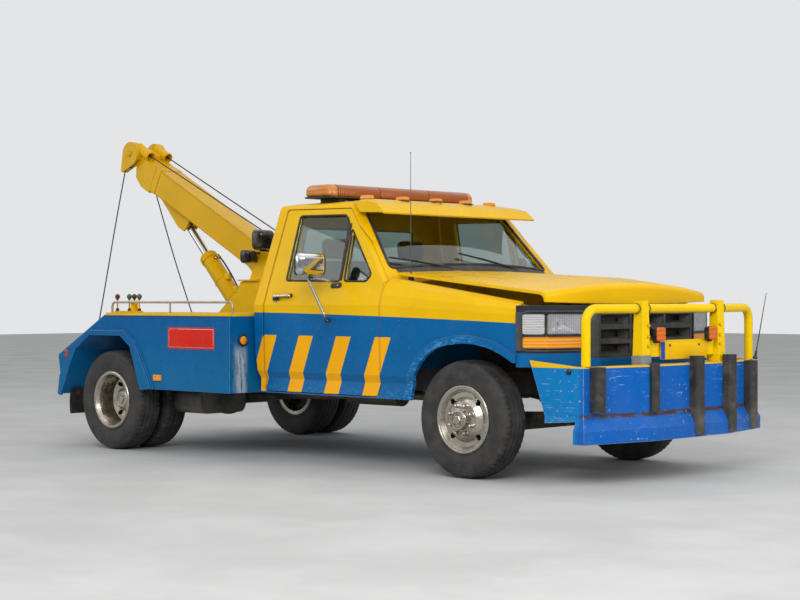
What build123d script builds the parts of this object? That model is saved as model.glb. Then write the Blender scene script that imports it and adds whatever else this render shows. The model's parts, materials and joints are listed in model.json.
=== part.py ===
"""Recovery truck: a regular-cab chassis with twin rear wheels, a steel wrecker body and a boom."""

from math import atan2, cos, degrees, hypot, radians, sin
import os

from build123d import *

os.makedirs("parts", exist_ok=True)

# Driving sizes, in millimetres. X runs forward, Y to the truck's left, Z up from the ground.
WHEELBASE = 3475
FRONT_REACH = 1160  # front axle to the faces of the bumper's rubber strips
HEAD_REACH = 1255  # rear axle back to the tip of the boom head
TYRE_RADIUS = 386
TYRE_WIDTH = 215
RIM_RADIUS = 222
RIM_WIDTH = 180
FRONT_TRACK = 1750
REAR_OUTER_TRACK = 2200
DUAL_SPACING = 262
KINGPIN_INSET = 130  # wheel's middle plane to the kingpin
SEAT_GAP = 0.3  # between pieces that rest on each other
DOOR_WALL = 45  # door and cab walls, outer skin to trim
DOOR_GAP = 6
PANEL = 10
FRAME_TOP = 680
FRAME_DEPTH = 170
FRAME_WIDTH = 75
FRAME_HALF = 430  # middle of each chassis rail from the truck's middle
CAB_FLOOR = 700
SILL_BOTTOM = 495
WINDSCREEN_RAKE = 48.7
WINDSCREEN_BULGE = 60
GLASS = 6
BODY_HALF = 1215
BODY_TOP = 1068
DECK_TOP = 945
DECK_HALF = 610
BOOM_RISE = 27.7
BOOM_DEPTH = 215
BOOM_WIDTH = 220
BOOM_PLATE = 12
BOOM_CLEARANCE = 6
BARREL_RADIUS = 70
ROD_RADIUS = 33

LENGTH = FRONT_REACH + WHEELBASE + HEAD_REACH
FRONT_AXLE = LENGTH / 2 - FRONT_REACH
REAR_AXLE = FRONT_AXLE - WHEELBASE
KINGPIN_Y = FRONT_TRACK / 2 - KINGPIN_INSET
INNER_TYRE_FACE = REAR_OUTER_TRACK / 2 - DUAL_SPACING - TYRE_WIDTH / 2
RAIL_LOW = FRAME_TOP - FRAME_DEPTH
RAIL_INSIDE = FRAME_HALF + FRAME_WIDTH / 2 - PANEL  # inner face of the rail's web


def fx(ahead):
    """X of a place that lies this far ahead of the front axle."""
    return FRONT_AXLE + ahead


def rx(ahead):
    """X of a place that lies this far ahead of the rear axle."""
    return REAR_AXLE + ahead


def save(part, name):
    part.label = name
    export_step(part, f"parts/{name}.step")


def save_pair(left, name):
    """The piece on the left and its mirror image on the right, as two nodes."""
    save(left, f"{name}_left")
    save(mirror(left, about=Plane.XZ), f"{name}_right")


def both_sides(part):
    """The piece and its mirror image, as one node."""
    return Compound(children=[part, mirror(part, about=Plane.XZ)])


def side_plane(y):
    """Sketch plane at this Y whose axes are the truck's X and Z; it extrudes towards -Y."""
    return Plane(origin=(0, y, 0), x_dir=(1, 0, 0), z_dir=(0, -1, 0))


def cross_plane(x):
    """Sketch plane at this X whose axes are the truck's Y and Z; it extrudes towards +X."""
    return Plane(origin=(x, 0, 0), x_dir=(0, 1, 0), z_dir=(1, 0, 0))


def axle_line(x, y, z):
    """Place of a cylinder whose axis runs across the truck."""
    return Location((x, y, z), (90, 0, 0))


def outline(points):
    """A filled closed outline in the sketch that is being built."""
    Polygon(*points, align=None)


def block(low, high, mode=Mode.ADD):
    """A box between two corners, in the part that is being built."""
    size = [b - a for a, b in zip(low, high)]
    with Locations(Vector(*low)):
        Box(*size, align=(Align.MIN, Align.MIN, Align.MIN), mode=mode)


def mirrored(half):
    """An outline given for y >= 0 from bottom to top, closed by its mirror image."""
    return half + [(-y, z) for y, z in reversed(half) if y > 0]


def ahead(points):
    """Side-view points given from the front axle, in the truck's frame."""
    return [(fx(x), z) for x, z in points]


def behind(points):
    """Side-view points given from the rear axle, in the truck's frame."""
    return [(rx(x), z) for x, z in points]


def side_prism(points, y_low, y_high):
    """A plate with a side-view outline, between two Y values."""
    with BuildPart() as prism:
        with BuildSketch(side_plane(y_high)):
            outline(points)
        extrude(amount=y_high - y_low)
    return prism.part


def tube_along(points, bends, radius):
    """A round bar that follows straight runs joined by arcs."""
    with BuildPart() as bar:
        with BuildLine() as path:
            FilletPolyline(*points, radius=bends)
        with BuildSketch(Plane(origin=path.line @ 0, z_dir=path.line % 0)):
            Circle(radius)
        sweep(path=path.line)
    return bar.part


# The chassis: rails and cross members, axles, springs, engine and running gear.
RAIL_FRONT = 985
RAIL_NOSE_RISE = 30
RAIL_REAR = -600  # from the rear axle
FRONT_CROSS_MEMBERS = (860, 420, -1000, -1700)  # ahead of the front axle
REAR_CROSS_MEMBERS = (775, -425)  # ahead of the rear axle
CROSS_SIZE = (60, 80)
CROSS_TOP = FRAME_TOP - 15
BEAM_TOP = 370
BEAM_WIDTH = 90
AXLE_TUBE_RADIUS = 62
KINGPIN_RADIUS = 28
EYE_RADIUS = 44
HUB_REACH = 165  # outer rear wheel's middle plane to the inner face of the wheel discs
DIFFERENTIAL_RADIUS = 170
PINION_REACH = 270
SHAFT_RADIUS = 45
GEARBOX_END = -930
LEAF = 11
LEAF_HALVES = (640, 470, 310, 170)  # half length of each leaf, top leaf first


def chassis_frame():
    with BuildPart() as frame:
        for inset, reach in ((0, 0), (PANEL, PANEL)):
            with BuildSketch(side_plane(FRAME_HALF + FRAME_WIDTH / 2 - reach)):
                outline([(rx(RAIL_REAR), RAIL_LOW + inset),
                         (fx(RAIL_FRONT), RAIL_LOW + RAIL_NOSE_RISE + inset),
                         (fx(RAIL_FRONT), FRAME_TOP - inset), (rx(RAIL_REAR), FRAME_TOP - inset)])
            extrude(amount=FRAME_WIDTH, mode=Mode.SUBTRACT if inset else Mode.ADD)
        mirror(about=Plane.XZ)
        length, depth = CROSS_SIZE
        for place in [fx(x) for x in FRONT_CROSS_MEMBERS] + [rx(x) for x in REAR_CROSS_MEMBERS]:
            block((place - length / 2, -RAIL_INSIDE, CROSS_TOP - depth),
                  (place + length / 2, RAIL_INSIDE, CROSS_TOP))
    save(frame.part, "frame")


def axles():
    """Front beam with bored kingpin ends, and the rear axle tube with its differential and hubs."""
    eye_low, eye_high = 340, 430
    with BuildPart() as front:
        with BuildSketch(cross_plane(FRONT_AXLE - BEAM_WIDTH / 2)):
            outline(mirrored([(0, 290), (KINGPIN_Y - 130, 290), (KINGPIN_Y - 40, eye_low),
                              (KINGPIN_Y, eye_low), (KINGPIN_Y, eye_high), (KINGPIN_Y - 60, eye_high),
                              (KINGPIN_Y - 160, BEAM_TOP), (0, BEAM_TOP)]))
        extrude(amount=BEAM_WIDTH)
        middle = (eye_low + eye_high) / 2
        with Locations((FRONT_AXLE, KINGPIN_Y, middle), (FRONT_AXLE, -KINGPIN_Y, middle)):
            Cylinder(EYE_RADIUS, eye_high - eye_low)
        with Locations((FRONT_AXLE, KINGPIN_Y, middle), (FRONT_AXLE, -KINGPIN_Y, middle)):
            Cylinder(KINGPIN_RADIUS + SEAT_GAP, 200, mode=Mode.SUBTRACT)
    save(front.part, "front_axle")
    hub_end = REAR_OUTER_TRACK / 2 - HUB_REACH - SEAT_GAP
    with BuildPart() as rear:
        with Locations(axle_line(REAR_AXLE, 0, TYRE_RADIUS)):
            Cylinder(AXLE_TUBE_RADIUS, 2 * INNER_TYRE_FACE - 30)
            Cylinder(AXLE_TUBE_RADIUS - 8, 2 * hub_end)
        with Locations((REAR_AXLE, 0, TYRE_RADIUS)):
            Sphere(DIFFERENTIAL_RADIUS)
        with BuildSketch(cross_plane(REAR_AXLE)):
            with Locations((0, TYRE_RADIUS)):
                Circle(DIFFERENTIAL_RADIUS * 0.62)
        with BuildSketch(cross_plane(rx(PINION_REACH))):
            with Locations((0, TYRE_RADIUS)):
                Circle(SHAFT_RADIUS + 10)
        loft()
    save(rear.part, "rear_axle")


def leaf_pack(axle_x, seat, width, rise):
    """One spring on the left: leaves that bend about one centre, with a hanger at each end."""
    half = LEAF_HALVES[0]
    radius = (half ** 2 + rise ** 2) / (2 * rise)
    with BuildPart() as pack:
        for place, reach in enumerate(reversed(LEAF_HALVES)):
            with BuildSketch(side_plane(FRAME_HALF + width / 2)):
                with Locations((axle_x, seat + radius)):
                    Circle(radius - place * LEAF)
                    Circle(radius - (place + 1) * LEAF, mode=Mode.SUBTRACT)
                with Locations((axle_x, seat)):
                    Rectangle(2 * reach, 2 * radius, mode=Mode.INTERSECT)
                with Locations((axle_x, seat + radius)):
                    Rectangle(2 * reach, 2 * radius, align=(Align.CENTER, Align.MAX), mode=Mode.INTERSECT)
            extrude(amount=width)
        for end in (-half, half):
            block((axle_x + end - 25, FRAME_HALF - width / 2 + 10, seat + rise + LEAF),
                  (axle_x + end + 25, FRAME_HALF + width / 2 - 10, RAIL_LOW))
        block((axle_x - 2 * half, 0, RAIL_LOW - SEAT_GAP),
              (axle_x + 2 * half, 2 * FRAME_HALF, 2 * FRAME_TOP),
              mode=Mode.SUBTRACT)
    return pack.part


def springs():
    front = leaf_pack(FRONT_AXLE, BEAM_TOP + SEAT_GAP, 70, 60)
    rear = leaf_pack(REAR_AXLE, TYRE_RADIUS + AXLE_TUBE_RADIUS + SEAT_GAP, 80, 12)
    save(Compound(children=[front, mirror(front, about=Plane.XZ), rear, mirror(rear, about=Plane.XZ)]),
         "leaf_springs")


def running_gear():
    with BuildPart() as engine:
        block((fx(-460), -260, 590), (fx(260), 260, 1010))
        block((fx(-380), -190, 500), (fx(180), 190, 620))
        with Locations(Location((fx(GEARBOX_END + 240), 0, 540), (0, 90, 0))):
            Cylinder(120, 480)
        for side in (-1, 1):
            near, far = sorted((side * 250, side * (RAIL_INSIDE - SEAT_GAP)))
            block((fx(-120), near, 615), (fx(0), far, 665))
    with BuildPart() as radiator:
        block((fx(392), -330, CROSS_TOP + SEAT_GAP), (fx(448), 330, 1060))
    save(Compound(children=[engine.part, radiator.part]), "engine")
    joint = SHAFT_RADIUS + SEAT_GAP
    start = Vector(fx(GEARBOX_END) - joint, 0, 520)
    end = Vector(rx(PINION_REACH) + joint, 0, TYRE_RADIUS)
    with BuildPart() as shaft:
        with BuildSketch(Plane(origin=start, z_dir=end - start)):
            Circle(SHAFT_RADIUS)
        extrude(amount=(end - start).length)
        with Locations(start, end):
            Sphere(SHAFT_RADIUS)
    save(shaft.part, "driveshaft")
    tank_inner, strap_top = -480, 575
    with BuildPart() as tank:
        block((rx(455), -930, 295), (rx(770), tank_inner, 475))
        fillet(tank.edges().filter_by(Axis.X), 60)
        for place in (695, 745):
            block((rx(place - 20), tank_inner - 100, 460), (rx(place + 20), -RAIL_INSIDE - PANEL, strap_top))
    save(tank.part, "fuel_tank")
    pipe = tube_along([(fx(-700), -240, 470), (fx(-1500), -240, 470), (fx(-2000), -300, 440),
                       (fx(-2300), -300, 440)], (200, 200), 32)
    with BuildPart() as muffler:
        add(pipe)
        with Locations(Location((fx(-1500), -240, 470), (0, 90, 0))):
            Cylinder(85, 520)
        for place in (-1700, -1000):
            block((fx(place - 15), -260, 470), (fx(place + 15), -220, CROSS_TOP - CROSS_SIZE[1]))
    save(muffler.part, "exhaust")


# The cab: one outer form and one room, from a cross section and a side view. Sections are y and z.
ROOF_CORNER = (822, 1850)
WAIST = (968, 1300)
CAB_SECTION = [(0, CAB_FLOOR - 15), (800, CAB_FLOOR - 15), (800, SILL_BOTTOM), (1000, SILL_BOTTOM),
               (986, 600), (1012, 652), (1022, 950), (1022, 1130), (1010, 1160), WAIST, ROOF_CORNER,
               (640, 1874), (0, 1890)]
CAB_ROOM = [(0, CAB_FLOOR - 30), (1012, CAB_FLOOR - 30)] + CAB_SECTION[6:]
CAB_BACK = 1990
CAB_FRONT = 665
BACK_LOW, BACK_TOP = (-CAB_BACK, 1164), (-1903, 1880)  # line of the cab's leaning back
CAB_SIDE = [(-1935, SILL_BOTTOM), (-CAB_FRONT, SILL_BOTTOM), (-CAB_FRONT, 1372), (-1100, 1872),
            (-1260, 1886),
            (-1500, 1892), BACK_TOP, BACK_LOW, (-1978, 781)]
ROOF_ROUND = 50
DOOR_EDGE = [(-754, 503), (-1905, 503), (-1895, 620), (-1893, 1241), (-1832, 1822), (-1166, 1812),
             (-712, 1313), (-712, 594)]
DOOR_REAR_GAP = 12  # more room at the lock side, where the door's inner corner swings past its post
QUARTER_PANE = [(-1103, 1294), (-884, 1291), (-846, 1340), (-1118, 1664)]
PANE_FOOT = (971, 1288)  # y and z where the door glass starts, in line with the cab's leaning side
MAIN_PANE = [(-1700, 1303), (-1145, 1295), (-1158, 1712), (-1200, 1762), (-1678, 1770)]
SCREEN_BASE = Vector(fx(-762), 0, 1357)  # base of the windscreen at its outer corners
SCREEN_HALF = 866
SCREEN_PANE = [(-842, 28), (842, 28), (738, 565), (-738, 565)]  # across, and up the glass from its base
SCREEN_UP = Vector(-cos(radians(WINDSCREEN_RAKE)), 0, sin(radians(WINDSCREEN_RAKE)))
SCREEN_OUT = Vector(sin(radians(WINDSCREEN_RAKE)), 0, cos(radians(WINDSCREEN_RAKE)))
BACK_PANE = [(0, 1345), (640, 1345), (580, 1700), (0, 1700)]
SILL_STEP = 905  # the door's lower part lies outside this Y
POST_HALF = 870  # the cab's front corner posts stand inside this Y, under the fenders


def behind_screen(inset):
    """Everything behind the curved windscreen, its face set in by this much."""
    start, height, depth = 1800, 4400, 4000
    reach = SCREEN_HALF * 1.3  # the curve runs on past the glass, so that it cuts the whole cab
    drop = WINDSCREEN_BULGE * (reach / SCREEN_HALF) ** 2 - WINDSCREEN_BULGE
    with BuildPart() as room:
        with BuildSketch(Plane(origin=SCREEN_BASE - SCREEN_UP * start - SCREEN_OUT * inset,
                               x_dir=(0, 1, 0), z_dir=SCREEN_UP)) as section:
            outward = 1 if section.workplanes[0].y_dir.dot(SCREEN_OUT) > 0 else -1
            with BuildLine():
                ThreePointArc((-reach, -outward * drop), (0, outward * WINDSCREEN_BULGE),
                              (reach, -outward * drop))
                Polyline((reach, -outward * drop), (reach, -outward * depth), (-reach, -outward * depth),
                         (-reach, -outward * drop))
            make_face()
        extrude(amount=height)
    return room.part


def cab_section(half, inset):
    """The cab's cross section, its roof corners rounded, set in by this much."""
    with BuildSketch(cross_plane(fx(-CAB_BACK - 100))) as section:
        outline(mirrored(half))
        fillet(section.vertices().filter_by(lambda v: v.Y == ROOF_CORNER[1]), ROOF_ROUND)
        if inset:
            offset(amount=-inset, kind=Kind.INTERSECTION, mode=Mode.REPLACE)
    return section.sketch


def cab_form(inset):
    """The cab's outer form set in by this much, floor to roof."""
    with BuildPart() as form:
        extrude(cab_section(CAB_ROOM if inset else CAB_SECTION, inset), amount=CAB_BACK)
        with BuildSketch(side_plane(BODY_HALF)) as side:
            outline(ahead(CAB_SIDE))
            fillet(side.vertices().filter_by(lambda v: v.Y == BACK_TOP[1]), ROOF_ROUND)
            if inset:
                offset(amount=-inset, kind=Kind.INTERSECTION, mode=Mode.REPLACE)
        extrude(amount=2 * BODY_HALF, mode=Mode.INTERSECT)
        add(behind_screen(inset), mode=Mode.INTERSECT)
    return form.part


def section_room(inset):
    """The space inside the cab's side skins, set in by this much, open to the front and back."""
    with BuildPart() as room:
        extrude(cab_section(CAB_ROOM, inset), amount=CAB_BACK)
    return room.part


def door_prism(points, grow, corner, lock_gap=0):
    """A side-view outline grown or shrunk, with rounded corners, as a solid through the left side."""
    with BuildPart() as prism:
        with BuildSketch(side_plane(BODY_HALF)) as view:
            outline(ahead([(x + (lock_gap if x < -1800 else 0), z) for x, z in points]))
            if grow:
                offset(amount=grow, kind=Kind.INTERSECTION, mode=Mode.REPLACE)
            fillet(view.vertices(), corner)
        extrude(amount=BODY_HALF - 700)
    return prism.part


def screen_prism(grow):
    """The windscreen's pane grown or shrunk, as a solid through the cab's front."""
    plane = Plane(origin=SCREEN_BASE + SCREEN_OUT * 200, x_dir=(0, 1, 0), z_dir=SCREEN_OUT)
    upward = 1 if plane.y_dir.dot(SCREEN_UP) > 0 else -1
    with BuildPart() as prism:
        with BuildSketch(plane) as view:
            outline([(across, upward * up) for across, up in SCREEN_PANE])
            fillet(view.vertices(), 45)
            if grow:
                offset(amount=grow, mode=Mode.REPLACE)
        extrude(amount=-330)
    return prism.part


def back_prism(grow):
    """The rear window's pane grown or shrunk, as a solid through the cab's back."""
    with BuildPart() as prism:
        with BuildSketch(cross_plane(fx(-CAB_BACK - 50))) as view:
            outline(mirrored(BACK_PANE))
            fillet(view.vertices().filter_by(lambda v: abs(v.X) > 1), 40)
            if grow:
                offset(amount=grow, mode=Mode.REPLACE)
        extrude(amount=200)
    return prism.part


def under_skin(points, depth_out, depth_in):
    """Outline of a layer under one straight skin line, from depth_out to depth_in below it."""
    (a0, b0), (a1, b1) = points
    run = hypot(a1 - a0, b1 - b0)
    inward = ((b0 - b1) / run, (a1 - a0) / run)
    corners = ((a0, b0, depth_out), (a1, b1, depth_out), (a1, b1, depth_in), (a0, b0, depth_in))
    return [(a + inward[0] * depth, b + inward[1] * depth) for a, b, depth in corners]


def cab(outer):
    with BuildPart() as opening:
        add(door_prism(DOOR_EDGE, 0, 28))
        add(section_room(DOOR_WALL + DOOR_GAP), mode=Mode.SUBTRACT)
        block((fx(-2100), 0, 0), (fx(0), SILL_STEP, CAB_FLOOR + 30), mode=Mode.SUBTRACT)
    with BuildPart() as post_room:
        block((fx(-706), -BODY_HALF, 400), (fx(-600), BODY_HALF, 1500))
        add(section_room(PANEL * 3), mode=Mode.SUBTRACT)
        block((fx(-706), -BODY_HALF, 1225), (fx(-600), BODY_HALF, 1500))
        block((fx(-706), -POST_HALF, 400), (fx(-600), POST_HALF, 1500), mode=Mode.SUBTRACT)
    with BuildPart() as shell:
        add(outer)
        add(cab_form(DOOR_WALL), mode=Mode.SUBTRACT)
        add(screen_prism(0), mode=Mode.SUBTRACT)
        add(back_prism(0), mode=Mode.SUBTRACT)
        add(post_room.part, mode=Mode.SUBTRACT)
        add(opening.part, mode=Mode.SUBTRACT)
        add(mirror(opening.part, about=Plane.XZ), mode=Mode.SUBTRACT)
    save(shell.part, "cab_shell")
    depth = DOOR_WALL - 4 * GLASS
    with BuildPart() as screen:
        add(behind_screen(depth))
        add(behind_screen(depth + GLASS), mode=Mode.SUBTRACT)
        add(screen_prism(-SEAT_GAP), mode=Mode.INTERSECT)
    save(screen.part, "windscreen")
    with BuildPart() as rear_glass:
        with BuildSketch(side_plane(POST_HALF)):
            outline(ahead(under_skin((BACK_TOP, BACK_LOW), 15, 15 + GLASS)))
        extrude(amount=2 * POST_HALF)
        add(back_prism(-SEAT_GAP), mode=Mode.INTERSECT)
    save(rear_glass.part, "rear_window")


def doors(outer):
    """The cab's own wall inside the door's edge, with its two panes cut and a pull handle."""
    handle_z, handle_reach = 1205, 1036
    with BuildPart() as handle:
        block((fx(-1765), handle_reach - 14, handle_z - 9), (fx(-1615), handle_reach, handle_z + 9))
        for place in (-1760, -1640):
            block((fx(place), WAIST[0] - 10, handle_z - 7), (fx(place + 20), handle_reach - 4, handle_z + 7))
    with BuildPart() as door:
        add(outer)
        add(door_prism(DOOR_EDGE, -DOOR_GAP, 25, DOOR_REAR_GAP), mode=Mode.INTERSECT)
        add(section_room(DOOR_WALL), mode=Mode.SUBTRACT)
        block((fx(-2100), 0, 0), (fx(0), SILL_STEP + DOOR_GAP, CAB_FLOOR + 30 + DOOR_GAP),
              mode=Mode.SUBTRACT)
        add(door_prism(QUARTER_PANE, 0, 24), mode=Mode.SUBTRACT)
        add(door_prism(MAIN_PANE, 0, 24), mode=Mode.SUBTRACT)
        add(handle.part)
    save_pair(door.part, "door")
    with BuildPart() as skin_layer:
        with BuildSketch(cross_plane(fx(-1950))):
            outline(under_skin((PANE_FOOT, ROOF_CORNER), 14, 14 + GLASS))
        extrude(amount=1300)
    panes = []
    for points in (QUARTER_PANE, MAIN_PANE):
        with BuildPart() as pane:
            add(skin_layer.part)
            add(door_prism(points, -SEAT_GAP, 24), mode=Mode.INTERSECT)
        panes.append(pane.part)
    save(Compound(children=panes), "door_glass_left")
    save(Compound(children=[mirror(pane, about=Plane.XZ) for pane in panes]), "door_glass_right")


# The door mirrors: a bent tube from two feet on the door, through the back of the mirror's head.
MIRROR_PATH = [(-1162, 955, 1265), (-1210, 1195, 1400), (-1040, 1195, 1041), (-1243, 1000, 1027)]
MIRROR_TUBE = 11
MIRROR_HEAD = ((-1240, 1085, 1320), (-1168, 1315, 1500))


def mirrors(outer):
    tube = tube_along([(fx(x), y, z) for x, y, z in MIRROR_PATH], (28, 28), MIRROR_TUBE)
    (x_low, y_low, z_low), (x_high, y_high, z_high) = MIRROR_HEAD
    with BuildPart() as head:
        block((fx(x_low), y_low, z_low), (fx(x_high), y_high, z_high))
        fillet(head.edges().filter_by(Axis.X), 30)
        fillet(head.faces().sort_by(Axis.X)[-1].edges(), 24)
        with BuildSketch(cross_plane(fx(x_low))):
            with Locations(((y_low + y_high) / 2, (z_low + z_high) / 2)):
                RectangleRounded(y_high - y_low - 16, z_high - z_low - 16, 22)
        extrude(amount=5, mode=Mode.SUBTRACT)
    with BuildPart() as set_left:
        add(head.part)
        add(tube)
        for x, y, z in (MIRROR_PATH[0], MIRROR_PATH[-1]):
            with Locations(axle_line(fx(x), y + 20, z)):
                Cylinder(26, 30)
        add(outer, mode=Mode.SUBTRACT)
    save_pair(max(set_left.part.solids(), key=lambda solid: solid.volume), "mirror")


# The front end: fenders, hood, nose, grille, lamps, bumper and bull bar. Sections are y and z.
FENDER_REAR = [(1000, 495), (986, 600), (1012, 652), (1022, 950), (1022, 1128), (1006, 1200), (960, 1275),
               (893, 1318)]
FENDER_FRONT = [(960, 495), (946, 600), (966, 652), (972, 950), (972, 1070), (962, 1105), (935, 1135),
                (893, 1152)]
FENDER_SPAN = (-702, 452)
GUTTER_DEPTH, GUTTER_Y = 24, 836  # ledge inside the fender's top edge, under the hood
ARCH_RISE = [(-431, 480), (-330, 755), (-69, 872)]  # start, middle and end of the arch's rear arc
ARCH_FALL = [(-69, 872), (200, 864), (432, 765)]
ARCH_NOSE = 620  # the arch runs into the open space behind the bumper
FLARE_WIDTH, FLARE_OUT = 52, 20
HOOD_LINES = ((-659, 1352, 1369), (378, 1238, 1317), (760, 1196, 1262))  # x, side z, crown z
HOOD_LOWS = (1330, 1187, 1128)  # lower edge at each of those places
HOOD_HALF = 886
HOOD_FRONT = ((620, 888), (707, 0))  # x and y of the front edge's corner and middle
HOOD_SKIN = (12, 18)  # set back and down of the hood's inner face
HOOD_PIN = (-661.7, 1366)
NOSE_PLAN = ((0, 790), (520, 775), (610, 712), (885, 640), (972, 486))  # y, and x ahead of the axle
NOSE_LOW, NOSE_HIGH, NOSE_DEPTH = 738, 1129, 40
GRILLE_HALF, GRILLE_LOW, GRILLE_HIGH = 575, 790, 1092
GRILLE_COLUMNS = ((-500, -200), (-180, 180), (200, 500))
GRILLE_ROWS = ((816, 880), (910, 974), (1006, 1068))
LAMP_IN, LAMP_OUT, LAMP_SPLIT = 608, 970, 893
HEAD_ROW, TURN_ROW = (950, 1080), (852, 936)  # low and high of the headlamp row and of the turn lamps
BUMPER_PLAN = [(527, 985), (972, 953), (1080, 420), (1080, -420), (972, -953), (527, -985)]
BUMPER_TOP, BUMPER_FOLD, SKIRT_TOP, BUMPER_LOW = 752, 440, 360, 276
BUMPER_LIP = 110  # depth of the bumper's folded top
SKIRT_OUT = 42
SIDE_RISE = 35  # how much higher a side plate's top is at its rear end
RISE_START = 930  # where that rise begins, clear of the bull bar's leg
RISE_END = 557  # where it is full
# What is cut off the side plates behind the wheels' swing.
SIDE_CUT = [(400, 100), (925, 100), (925, 415), (701, 398), (567, 800), (400, 800)]
# Rubber strips: y, bottom, top, and how much of the depth is left
STRIPS = ((830, 290, 748, 1), (450, 290, 800, 1), (70, 290, 800, 1), (-370, 455, 765, 0.45),
          (-860, 470, 750, 1))
STRIP_WIDTH = 84


def fender_form(inset, rise=0):
    """A front fender's outer form on the left, its skin moved in by this much."""
    with BuildPart() as form:
        for x, points in zip(FENDER_SPAN, (FENDER_REAR, FENDER_FRONT)):
            with BuildSketch(cross_plane(fx(x))):
                skin = [(y - inset, z - (inset if z > 1000 else 0)) for y, z in points]
                outline(skin + [(893 - inset, 495), (950 - inset, 495)])
        loft(ruled=True)
    return form.part


def arch_prism(grow, y_low, y_high):
    """The wheel opening in the fender, grown by this much, as a solid."""
    with BuildPart() as arch:
        with BuildSketch(side_plane(y_high)):
            with BuildLine():
                ThreePointArc(*ahead(ARCH_RISE))
                ThreePointArc(*ahead(ARCH_FALL))
                Polyline(*ahead([ARCH_FALL[2], (ARCH_NOSE, 765), (ARCH_NOSE, 480), ARCH_RISE[0]]))
            make_face()
            if grow:
                offset(amount=grow, mode=Mode.REPLACE)
        extrude(amount=y_high - y_low)
    return arch.part


def fenders():
    """Skins with a wheel opening, a raised flare round it and a gutter under the hood's edge."""
    with BuildPart() as flare:
        add(fender_form(-FLARE_OUT))
        add(arch_prism(FLARE_WIDTH, 850, 1100), mode=Mode.INTERSECT)
        add(fender_form(PANEL / 2), mode=Mode.SUBTRACT)
        block((fx(-800), 850, 940), (fx(600), 930, 1300), mode=Mode.SUBTRACT)
    with BuildPart() as gutter:
        for x, points in zip(FENDER_SPAN, (FENDER_REAR, FENDER_FRONT)):
            y, top = points[-1]
            with BuildSketch(cross_plane(fx(x))):
                outline([(y, top), (y, top - GUTTER_DEPTH), (GUTTER_Y, top - GUTTER_DEPTH),
                         (GUTTER_Y, top - GUTTER_DEPTH - PANEL), (y + PANEL, top - GUTTER_DEPTH - PANEL),
                         (y + PANEL, top - 4)])
        loft(ruled=True)
        block((fx(FENDER_SPAN[0]), GUTTER_Y, 1200), (fx(SEAT_GAP - CAB_FRONT), POST_HALF + SEAT_GAP, 1400),
              mode=Mode.SUBTRACT)
    with BuildPart() as fender:
        add(fender_form(0))
        add(fender_form(PANEL), mode=Mode.SUBTRACT)
        block((fx(-800), 0, 0), (fx(600), FENDER_FRONT[-1][0] + PANEL, 1090), mode=Mode.SUBTRACT)
        add(flare.part)
        add(gutter.part)
        add(arch_prism(0, 800, 1100), mode=Mode.SUBTRACT)
        block((fx(-800), 800, 400), (fx(600), 1100, 495), mode=Mode.SUBTRACT)
    save_pair(fender.part, "fender")


def hood_form():
    """The hood's outer form, crowned across, with a bowed and rounded front edge."""
    (corner_x, corner_y), (middle_x, _) = HOOD_FRONT
    with BuildPart() as form:
        for (x, side_z, crown_z), low in zip(HOOD_LINES, HOOD_LOWS):
            with BuildSketch(cross_plane(fx(x))):
                with BuildLine():
                    ThreePointArc((HOOD_HALF, side_z), (0, crown_z), (-HOOD_HALF, side_z))
                    Polyline((-HOOD_HALF, side_z), (-HOOD_HALF, low), (HOOD_HALF, low), (HOOD_HALF, side_z))
                make_face()
        loft(ruled=True)
        with BuildSketch(Plane.XY.offset(HOOD_LOWS[-1] - 100)):
            with BuildLine():
                ThreePointArc((fx(corner_x), -corner_y), (fx(middle_x), 0), (fx(corner_x), corner_y))
                Polyline((fx(corner_x), corner_y), (fx(-700), corner_y), (fx(-700), -corner_y),
                         (fx(corner_x), -corner_y))
            make_face()
        extrude(amount=500, mode=Mode.INTERSECT)
        front = form.faces().sort_by(Axis.X)[-1]
        fillet(front.edges().sort_by(Axis.Z)[-1], 42)
    return form.part


def hood():
    form = hood_form()
    back, down = HOOD_SKIN
    with BuildPart() as panel:
        add(form)
        add(form.moved(Location((-back, 0, -down))), mode=Mode.SUBTRACT)
        block((fx(-659), -700, 1310), (fx(-640), 700, 1348))
        for side in (-1, 1):
            with Locations(axle_line(fx(HOOD_PIN[0]), side * 260, HOOD_PIN[1])):
                Cylinder(2.9, 120)
    save(panel.part, "hood")


def nose_x(y):
    """How far ahead of the front axle the nose lies at this distance from the middle."""
    for (y0, x0), (y1, x1) in zip(NOSE_PLAN, NOSE_PLAN[1:]):
        if y <= y1:
            return x0 + (x1 - x0) * (y - y0) / (y1 - y0)


def nose_slice(y_in, y_out, front, back, low, high):
    """A piece of the nose on the left, between two Y values and two depths behind its plan."""
    marks = [y_in] + [y for y, _ in NOSE_PLAN if y_in < y < y_out] + [y_out]
    face = [(fx(nose_x(y) - front), y) for y in marks]
    rear = [(fx(nose_x(y) - back), y) for y in reversed(marks)]
    with BuildPart() as piece:
        with BuildSketch(Plane.XY.offset(low)):
            outline(face + rear)
        extrude(amount=high - low)
    return piece.part


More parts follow.
